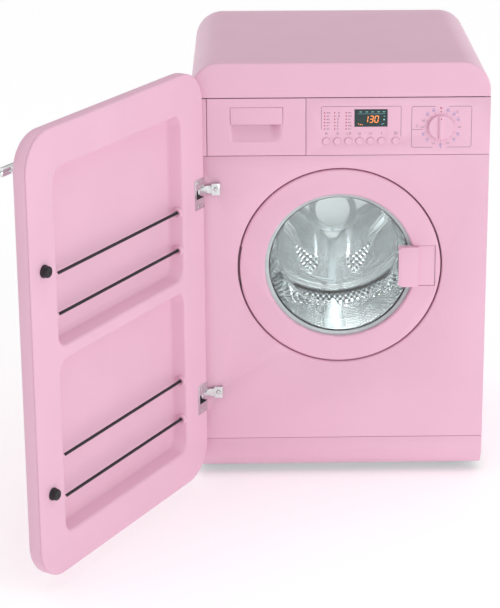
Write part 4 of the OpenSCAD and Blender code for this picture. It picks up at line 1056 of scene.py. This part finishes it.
# %% Rounded blocks: the grip's plate
def rounded_block(low, high, radius, rings=16, sides=32):
    """A box with round edges: a sphere of the radius pulled apart, p = sign(n) (half - radius) + radius n."""
    low, high = np.asarray(low, float), np.asarray(high, float)
    half = (high - low) / 2
    radius = np.minimum(radius, half)
    a = (np.arange(sides) + 0.5) / sides * 2 * np.pi
    b = ((np.arange(rings) + 0.5) / rings * np.pi - np.pi / 2)[:, None]
    n = np.stack([np.cos(b) * np.cos(a), np.cos(b) * np.sin(a), np.sin(b) + 0 * a], -1)
    return np.clip(np.sign(n) * (half - radius) + radius * n, -half, half) + (low + high) / 2


def block_mesh(name, blocks, place=np.asarray):
    """One mesh of several rounded blocks, each (low, high, radius)."""
    return shaped(name, [(rounded_block(*block), (0, -1)) for block in blocks], place, 50)


plate_low = (GRIP_X[0] + GROOVE, 0.0, GRIP_Z[0] - 1.0)
plate_high = (GRIP_X[1] - GROOVE, 5.0, GRIP_Z[1] - GROOVE)
add_piece("grip_plate", block_mesh("grip_plate", [(plate_low, plate_high, 0.8)]), "drawer", "pink_plastic")
print("grip plate made")

# %% [markdown]
# ## Buttons and knob
# Seven caps with rolled rims and a slight dish, and a knob with a tapered ridge to turn it by. All are
# turned profiles, each with its skirt and stem, and the ridge is a rounded block.


# %% Buttons
BUTTON_R, SKIRT_R, SKIRT_Y, STEM_R = 7.3, 8.5, (3.5, 5.5), 3.0


def middle_of(node):
    """The middle of a CAD node's front, at the plane Y = 0, with its lowest and highest Y."""
    low, high = box_mm(node)
    return ((low[0] + high[0]) / 2, 0, (low[2] + high[2]) / 2), low[1], high[1]


for i in range(1, 8):
    centre, front, end = middle_of(f"button_{i}")
    profile = [(0, front + 0.5), (3, front + 0.35), (5.2, front)]
    profile += arc((BUTTON_R - 1, front + 1), 1, 270, 360, 6)
    profile += [(BUTTON_R, SKIRT_Y[0]), (SKIRT_R, SKIRT_Y[0]), (SKIRT_R, SKIRT_Y[1])]
    profile += [(STEM_R, SKIRT_Y[1]), (STEM_R, end), (0, end)]
    cap = turned_mesh(f"button_cap_{i}", profile, centre, 48)
    add_piece(f"button_cap_{i}", cap, f"push_{i}", "pink_plastic", [f"button_{i}"])
print("seven button caps")

# %% Knob
KNOB, KNOB_FRONT, knob_end = middle_of("knob")
KNOB_R, DISC_FRONT, DISC_BACK, DISC_EDGE = 25.0, -7.0, -0.5, 2.2
RIDGE_HALF, RIDGE_L, RIDGE_FOOT, CREST, CREST_D = 6.5, 23.6, -4.0, 0.55, 4.5
profile = [(0, DISC_FRONT - 0.2), (KNOB_R - 6, DISC_FRONT)]
profile += arc((KNOB_R - DISC_EDGE, DISC_FRONT + DISC_EDGE), DISC_EDGE, 270, 360)
profile += [(KNOB_R, -1.6), (KNOB_R - 0.6, DISC_BACK), (KNOB_R - 4, DISC_BACK)]
profile += [(STEM_R, DISC_BACK), (STEM_R, knob_end), (0, knob_end)]
disc = turned_mesh("knob_disc", profile, KNOB)
add_piece("knob_disc", disc, "programme_knob", "pink_plastic", ["knob"])


def taper(points):
    """Narrows the grip to about half at its crest: across = CREST + (1 - CREST) depth / CREST_D."""
    t = np.clip((points[:, 1] - KNOB_FRONT) / CREST_D, 0, 1)[:, None]
    return (points - KNOB) * (np.array([CREST, 1, 1]) * (1 - t) + t) + KNOB


ridge_low = (KNOB[0] - RIDGE_HALF, KNOB_FRONT, KNOB[2] - RIDGE_L)
ridge_high = (KNOB[0] + RIDGE_HALF, RIDGE_FOOT, KNOB[2] + RIDGE_L)
ridge = block_mesh("knob_ridge", [(ridge_low, ridge_high, 2.4)], taper)
add_piece("knob_ridge", ridge, "programme_knob", "pink_plastic")
print("knob made")

# %% [markdown]
# ## Prints and figures
# Marks are ribbons a little proud of the face: a stroke is a line of points with a width. Figures are
# seven-segment, so each digit is a choice among seven strokes.


# %% Strokes and figures
def ribbons(name, strokes, y, slot, material, body="cabinet"):
    """Flat ribbons for strokes ((x, z) points, width) at depth y; a bend takes its mean direction."""
    points, faces = [], []
    for line, width in strokes:
        line = np.asarray(line, float)
        step = np.diff(line, axis=0)
        step /= np.linalg.norm(step, axis=1)[:, None] + 1e-9
        closed = np.allclose(line[0], line[-1])
        first, last = (step[0] + step[-1], step[0] + step[-1]) if closed else (step[0], step[-1])
        along = np.vstack([first, step[1:] + step[:-1], last])
        along /= np.linalg.norm(along, axis=1)[:, None] + 1e-9
        side = np.stack([-along[:, 1], along[:, 0]], -1) * width / 2
        start = len(points)
        for a, b in zip(line + side, line - side):
            points += [(a[0], y, a[1]), (b[0], y, b[1])]
        faces += [[k, k + 2, k + 3, k + 1] for k in range(start, start + 2 * len(line) - 2, 2)]
    return add_piece(name, make_mesh(name, points, faces, False), body, slot, (), material)


def circle(x, z, radius, count=20, start=0, end=360):
    """Points of a circle or an arc."""
    return np.array(arc((x, z), radius, start, end, count))


def dot(x, z, radius):
    """A round dot as one thick ring."""
    return circle(x, z, radius / 2, 14), radius


SEGMENTS = {
    "0": "abcdef", "1": "bc", "2": "abged", "3": "abgcd", "4": "fgbc",
    "5": "afgcd", "6": "afgedc", "8": "abcdefg", "9": "abcdfg",
}
SEGMENT_ENDS = {
    "a": ((0, 1), (1, 1)), "b": ((1, 1), (1, 0.5)), "c": ((1, 0.5), (1, 0)), "d": ((0, 0), (1, 0)),
    "e": ((0, 0.5), (0, 0)), "f": ((0, 1), (0, 0.5)), "g": ((0, 0.5), (1, 0.5)),
}
DIGIT_W, DIGIT_STEP, DIGIT_GAP = 0.5, 0.78, 0.04


def figure(char, x, z, height, width, lean=0.0):
    """The strokes of one seven-segment digit with its lower left corner at (x, z)."""
    made = []
    for key in SEGMENTS[char]:
        p, q = np.array(SEGMENT_ENDS[key]) * (height * DIGIT_W, height)
        gap = (q - p) / np.linalg.norm(q - p) * height * DIGIT_GAP
        ends = np.array([p + gap, q - gap])
        ends[:, 0] += ends[:, 1] * lean
        made.append((ends + (x, z), width))
    return made


def number(text, x, z, height, width, lean=0.0):
    """Digits side by side."""
    step = height * DIGIT_STEP
    return [s for i, c in enumerate(text) for s in figure(c, x + i * step, z, height, width, lean)]


def print_ink(name, colour, glow=0.0):
    """Printing ink, or a lit segment when glow is above nothing."""
    made = moulding(name, colour, 0.5, 0.6, 0.004)
    shader = made.node_tree.nodes["Principled BSDF"]
    shader.inputs["Emission Color"].default_value = (*colour, 1)
    shader.inputs["Emission Strength"].default_value = glow
    return made


print("strokes and inks ready")

# %% [markdown]
# The fascia's print has a thin frame round the display and another round the knob, three columns of red
# lights with numbers or words beside them, an icon over each button, and the knob's programmes.

# %% Frames, lights and icons
FACE = -0.12
grey, blue, red = [], [], []


def frame_line(start, corners, end, radius=4):
    """A frame's line from start round its corners to end. A corner is (x, z) of its arc and its angle."""
    arcs = [circle(x, z, radius, 6, angle, angle - 90) for x, z, angle in corners]
    return np.vstack([[start], *arcs, [end]]), 0.8


def basin(x, z, top, foot):
    """The outline of a wash basin, wider at its top."""
    return [(x - top, z + 2.0), (x - foot, z - 2.2), (x + foot, z - 2.2), (x + top, z + 2.0)]


grey.append(frame_line((-38.5, 755), ((-35.5, 798.8, 180), (116.7, 798.8, 90)), (119.7, 740), 3))
grey.append(frame_line((183, 717), ((145, 721, 270), (145, 797, 180)), (188, 801)))
grey.append(frame_line((215, 801), ((256, 797, 90), (256, 721, 0)), (212, 717)))
grey += [([(141, 753.7), (163, 753.7)], 0.8), ([(199, 714), (199, 720)], 0.6)]

LIGHT_X, LIGHT_Z, LIGHT_STEP = (-32, -12, 10.7), 789, 6.6
LIGHT_NUMBERS = ("12", "10", "9", "8", "6", "5")
WORD_LENGTHS = (7.5, 5.0, 6.5, 7.5, 4.5, 6.0)
for column, x in enumerate(LIGHT_X):
    for row in range(6):
        z = LIGHT_Z - LIGHT_STEP * row
        red.append(dot(x, z, 1.35))
        if column == 1:
            grey += number(LIGHT_NUMBERS[row], x + 5.2, z - 1.7, 3.4, 0.55)
            continue
        reach = WORD_LENGTHS[(row + column) % 6]
        turn = x + 4.6 + reach * 0.45
        grey.append(([(x + 4.0, z), (turn - 0.6, z)], 1.5))
        grey.append(([(turn, z + 0.7), (x + 4.0 + reach, z + 0.7)], 0.7))
        grey.append(([(turn, z - 0.9), (x + 3.2 + reach, z - 0.9)], 0.6))

ICON_Z = 746.7
ICONS = (
    (circle(-28.6, 0, 1.7, 14), 0.9),
    (circle(-6.6, 0, 2.4, 12, 200, 520), 0.7),
    ([(12.6, 2.4), (12.6, -2.4), (15.4, -2.4)], 0.7),
    (circle(18.4, 0, 2.0, 12), 0.7),
    (basin(37.4, 0, 2.4, 1.7), 0.7),
    (basin(59.4, 0, 2.4, 1.7), 0.7),
    ([(36.0, 0), (38.8, 0)], 0.6),
    ([(81.4, 2.4), (81.4, -2.4)], 0.9),
    ([(106.4, -2.6), (106.4, 2.6), (112.4, 2.6), (112.4, -2.6), (106.4, -2.6)], 0.6),
    ([(106.4, 0), (112.4, 0)], 0.6),
    ([(109.4, -2.6), (109.4, 2.6)], 0.6),
)
grey += [(np.add(line, (0, ICON_Z)), width) for line, width in ICONS]
print("frames, lights and icons:", len(grey), "grey strokes,", len(red), "lights")

# %% Programmes round the knob, and all prints
PROGRAMMES = ("", "90", "60", "40", "", "60", "40", "", "30", "", "40", "30", "", "", "60", "95")
TICK, LABEL_X, LABEL_Z = (28.5, 31), 37.5, 36
knob_x, _, knob_z = KNOB
for k, text in enumerate(PROGRAMMES):
    a = math.radians(90 - 360 / len(PROGRAMMES) * k)
    ux, uz = math.cos(a), math.sin(a)
    if k not in (0, 4):
        grey.append(([(knob_x + ux * r, knob_z + uz * r) for r in TICK], 0.6))
    px, pz = knob_x + ux * LABEL_X, knob_z + uz * LABEL_Z
    if text:
        blue += number(text, px - 2.9, pz - 1.9, 3.8, 0.6)
        line_z = pz - 4.2 if uz < 0.3 else pz + 4.6
        blue.append(([(px - 2.6, line_z), (px + 2.2, line_z)], 0.55))
    elif k > 0:
        grey.append((basin(px, pz, 3.0, 2.2), 0.6))
        grey.append(([(px - 1.4, pz - 0.2), (px + 1.4, pz - 0.2)], 0.6))
    if k in (2, 12):
        grey.append((circle(knob_x + 47 * ux, knob_z + 40 * uz + 2, 2.4, 12, 30, 330), 0.6))
red.append(([(knob_x - 1.8, knob_z + 38.5), (knob_x + 1.8, knob_z + 38.5)], 2.6))
red.append(dot(knob_x, knob_z + 31, 1.2))
ink_red = print_ink("ink_red", (0.42, 0.02, 0.05))
ribbons("prints_grey", grey, FACE, "grey_plastic", print_ink("ink_grey", (0.20, 0.13, 0.17)))
ribbons("prints_blue", blue, FACE, "blue_plastic", print_ink("ink_blue", (0.13, 0.20, 0.52)))
ribbons("prints_red", red, FACE, "pink_plastic", ink_red)
knob_dot = [dot(knob_x, knob_z + 18.2, 1.4)]
ribbons("knob_dot", knob_dot, KNOB_FRONT - 0.08, "pink_plastic", ink_red, "programme_knob")
print("prints:", len(grey), "grey,", len(blue), "blue,", len(red), "red strokes")

# %% [markdown]
# The display's figures stand just proud of its dark window, so they read as lit from behind.

# %% Display figures
GLOW_Y = box_mm("display_window")[0][1] - 0.1
DIGITS = {"z": 769.0, "height": 13.0, "width": 1.5, "lean": 0.12}
orange = number("1", 46.5, **DIGITS) + number("30", 57.0, **DIGITS)


def bars(rows):
    """Level strokes from rows of (x, z, length, width)."""
    return [([(x, z), (x + length, z)], width) for x, z, length, width in rows]


orange += bars([(34.5, 766.0, 1.5, 1.6), (37.5, 764.6, 3.0, 1.4), (42.0, 764.2, 1.6, 1.4)])
teal = bars([(x, 790.5, 5, 1.2) for x in (37.0, 49.0, 60.5, 72.5, 83.0)])
teal += bars([(84.5, 774.5, 3, 2.4), (85.0, 781.5, 3, 0.9), (34, 786.5, 54, 0.4)])
teal.append(([(80.5, 765.0), (86.0, 766.5)], 1.0))
ribbons("display_figures", orange, GLOW_Y, "display_dark", print_ink("lit_orange", (1.0, 0.30, 0.07), 0.8))
ribbons("display_marks", teal, GLOW_Y, "display_dark", print_ink("lit_teal", (0.22, 0.50, 0.50), 0.4))
print("display", len(orange) + len(teal), "strokes")

# %% [markdown]
# ## Bumpers, screws and the bar handle
# Small turned parts finish the door: rubber bumpers, screws with a cross in their heads, black sheets in
# the hinge cups as painted shade, and the chrome bar on posts with flared feet on the door's outside.

# %% Bumpers
BUMPER_X, BUMPER_Z, BUMPER_R, BUMPER_L = DOOR_W - 39, (636, 205), 12.0, 13.5


def bumper_grid(z):
    """A turned rubber stop whose axis leaves the door's inner face: a flange, a stem and a hollow end."""
    profile = [(0, -9), (3, -9), (3, 0), (BUMPER_R - 0.8, 0), (BUMPER_R, 0.8), (BUMPER_R, 3.2)]
    profile += [(BUMPER_R - 1.2, 4.2), (BUMPER_R - 1.4, 8.5)] + arc((BUMPER_R - 4.9, 9.5), 3.5, 0, 84)
    profile += [(3.5, BUMPER_L - 0.2), (2.8, BUMPER_L - 1.2), (0, BUMPER_L - 1.4)]
    return turned_points(profile, 48)[..., [0, 2, 1]] + (BUMPER_X, 0, z)


for i, z in enumerate(BUMPER_Z):
    name = f"bumper_{i + 1}"
    bumper = shaped(name, [(bumper_grid(z), ())], on_door)
    add_piece(name, bumper, "outer_door", "rubber_black", ["door_bumpers"] if i == 0 else ())
print("bumpers", len(BUMPER_Z))


# %% Screw heads
def cross_head(x, z, radius, height):
    """A domed head as a height field over (radius, angle), with a cross sunk into it."""
    r = np.concatenate([np.linspace(0.02, radius * 0.96, 22), [radius, radius]])[:, None]
    a = np.linspace(0, 2 * np.pi, 72, endpoint=False)[None, :]
    px, pz = r * np.cos(a), r * np.sin(a)
    dome = height * np.sqrt(np.clip(1 - (r / (radius * 1.02)) ** 2, 0, 1)) + 0 * a
    slot = (np.minimum(np.abs(px), np.abs(pz)) < radius * 0.13) & (np.hypot(px, pz) < radius * 0.58)
    dome = np.where(slot, dome - height * 0.7, dome)
    dome[-1] = -0.1
    return np.stack([x + px, dome, z + pz], -1)


def screw_heads(name, places, radius, height, place, body):
    """A piece of several heads; place() carries points from (x, out, z) to the scene."""
    heads = [(cross_head(x, z, radius, height), (0,)) for x, z in places]
    add_piece(name, shaped(name, heads, place, 35, 0.001), body, "bright_steel")
    print(name, len(heads))


def on_block(points):
    """Stands points on the hinge blocks' front faces."""
    return points * (1, -1, 1) - (0, 9.9, 0)


def on_flange(points):
    """Stands points on the hinge cups' flanges."""
    return on_door(points + (0, 1.3, 0))


block_places = [(block_high[0] - 8.5, z) for z in HINGE_Z]
flange_places = [(22.5, z + away) for z in HINGE_Z for away in (-24, 24)]
screw_heads("block_screw_heads", block_places, 4.4, 1.5, on_block, "cabinet")
screw_heads("flange_screw_heads", flange_places, 3.6, 1.1, on_flange, "outer_door")

# %% Black sheets in the hinge cups: painted shade
# Thin black blocks cover each cup's floor and walls: a painted shade in the recess.
CUP_X, CUP_FLOOR, CUP_HALF, SHADE_SHEET_R = (2.0, 30.2), -16.2, 9.3, 0.2
cup_shades = []
for z in HINGE_Z:
    low, high, top = z - CUP_HALF, z + CUP_HALF, -0.2
    cup_shades.append(((CUP_X[0], CUP_FLOOR - 0.2, low), (CUP_X[1], CUP_FLOOR + 0.6, high), SHADE_SHEET_R))
    cup_shades.append(((CUP_X[1] - 0.8, CUP_FLOOR, low), (CUP_X[1], top, high), SHADE_SHEET_R))
    for wall in (low, high - 0.6):
        cup_shades.append(((CUP_X[0], CUP_FLOOR, wall), (CUP_X[1], top, wall + 0.6), SHADE_SHEET_R))
add_piece("cup_painted_shade", block_mesh("cup_painted_shade", cup_shades, on_door), "outer_door", "black_plastic")
print("cup linings", len(cup_shades))

# %% Bar handle on the door's outside
BAR_R, BAR_L, BAR_END, BAR_Z = 8.95, 190.0, DOOR_W - 22, 813
BAR_Y, POST_IN, POST_L = -DOOR_T - DOOR_BOW - 22, 22, 27.0
ROUND = np.radians(np.linspace(0, 90, 10))


def handle_mesh():
    """A capsule along the door's X and two posts with flared feet, all turned surfaces."""
    profile = [(BAR_R * math.cos(a), -BAR_R * math.sin(a)) for a in ROUND[::-1]]
    profile += [(BAR_R, t) for t in np.linspace(0, BAR_L, 20)[1:]]
    profile += [(BAR_R * math.cos(a), BAR_L + BAR_R * math.sin(a)) for a in ROUND[1:]]
    bar = turned_points(profile, 48)[..., [2, 0, 1]] + (BAR_END - BAR_L, BAR_Y, BAR_Z)
    post = [(7, 0), (7, POST_L - 6), (7.6, POST_L - 4), (9.0, POST_L - 2), (9.4, POST_L)]
    post += [(9.0, POST_L + 1.2), (0, POST_L + 1.2)]
    parts = [(bar, ())]
    for x in (BAR_END - POST_IN, BAR_END - BAR_L + POST_IN):
        parts.append((turned_points(post, 40)[..., [0, 2, 1]] + (x, BAR_Y, BAR_Z), ()))
    return shaped("bar_handle", parts, on_door)


add_piece("bar_handle", handle_mesh(), "outer_door", "chrome", ["door_handle"])
print("bar handle made")

# %% [markdown]
# ## Studio, floor and camera
# The machine stands on a plain pale floor in soft light: a broad panel at the front right, a weaker one
# in front, and a sky that is bright near the horizon and overhead and dim between them, so the top stays
# quieter. The panel at the right is kept out of reflections, because the hood would show it as a glare.
# A small lamp lights the drum, which would be a dark hole behind its glass.

# %% Floor
FLOOR_X, FLOOR_Y, FLOOR_GLOW = 40000, (-40000, 60000), 0.24
floor_points = [[x, y, 0] for y in FLOOR_Y for x in (-FLOOR_X, FLOOR_X)]
floor_mesh = make_mesh("floor", floor_points, [[0, 1, 3, 2]], False)
floor = bpy.data.objects.new("floor", floor_mesh)
bpy.context.scene.collection.objects.link(floor)
floor_paint, n, l, shader = new_material("floor_paint", (0.93, 0.93, 0.93), 0.9, spec=0.1)
shader.inputs["Emission Color"].default_value = (1, 1, 1, 1)
shader.inputs["Emission Strength"].default_value = FLOOR_GLOW
floor_mesh.materials.append(floor_paint)
floor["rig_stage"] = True
print("floor", FLOOR_X * 2 * MM, "m wide")

# %% Sky
# Each row is the sine of the height above the horizon and the brightness there.
SKY = ((0.0, 1.10), (0.10, 0.90), (0.20, 0.35), (0.45, 0.40), (0.70, 0.95), (1.0, 1.05))
world = bpy.data.worlds.new("studio")
bpy.context.scene.world = world
world.use_nodes = True
n, l = world.node_tree.nodes, world.node_tree.links
direction = n.new("ShaderNodeTexCoord")
axes = n.new("ShaderNodeSeparateXYZ")
ramp = n.new("ShaderNodeValToRGB")
for i, (place, level) in enumerate(SKY):
    stop = ramp.color_ramp.elements[i] if i < 2 else ramp.color_ramp.elements.new(place)
    stop.position = place
    stop.color = (level, level, level, 1)
l.new(direction.outputs["Generated"], axes.inputs["Vector"])
l.new(axes.outputs["Z"], ramp.inputs["Fac"])
l.new(ramp.outputs["Color"], n["Background"].inputs["Strength"])
n["Background"].inputs["Color"].default_value = (1, 1, 1, 1)
print("sky stops", len(ramp.color_ramp.elements))


# %% Lights
def panel_light(name, place, aim, size, power):
    """A rectangular area light at a place, turned to a point."""
    data = bpy.data.lights.new(name, "AREA")
    data.shape = "RECTANGLE"
    data.size, data.size_y = size
    data.energy = power
    lamp = bpy.data.objects.new(name, data)
    lamp.location = place
    lamp.rotation_euler = (Vector(aim) - Vector(place)).to_track_quat("-Z", "Y").to_euler()
    bpy.context.scene.collection.objects.link(lamp)
    return lamp


key = panel_light("key", (3.4, -2.4, 1.5), (0, 0, 0.45), (1.2, 1.8), 38)
key.visible_glossy = False
panel_light("front", (0.4, -4.6, 1.3), (0, 0, 0.5), (1.6, 1.2), 18)
panel_light("in_drum", (0, 0.21, 0.672), (0, 0.38, 0.40), (0.26, 0.09), 5.6)

# %% Camera
# Metres and radians. The lens shift keeps the machine's uprights nearly parallel.
CAM_PLACE = (-0.178, -3.9589, 1.8423)
CAM_YAW, CAM_PITCH = 0.0272, 0.3087
LENS, SENSOR = 122.45921, 36.0
SHIFT = (-0.091, -0.148)
level = math.cos(CAM_PITCH)
look = Vector((math.sin(CAM_YAW) * level, math.cos(CAM_YAW) * level, -math.sin(CAM_PITCH)))
lens = bpy.data.cameras.new("camera")
lens.sensor_width = SENSOR
lens.lens = LENS
lens.shift_x, lens.shift_y = SHIFT
lens.clip_end = 200
camera = bpy.data.objects.new("camera", lens)
camera.location = CAM_PLACE
camera.rotation_euler = look.to_track_quat("-Z", "Y").to_euler()
bpy.context.scene.collection.objects.link(camera)
bpy.context.scene.camera = camera
bpy.context.scene.view_settings.view_transform = "Standard"
print("camera at", CAM_PLACE, "lens", round(LENS, 1))

# %% Print the sizes and finish
made_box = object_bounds()
for title, found in (("cad", cad_box), ("visual", made_box)):
    print(title, [[round(c, 4) for c in p] for p in found])
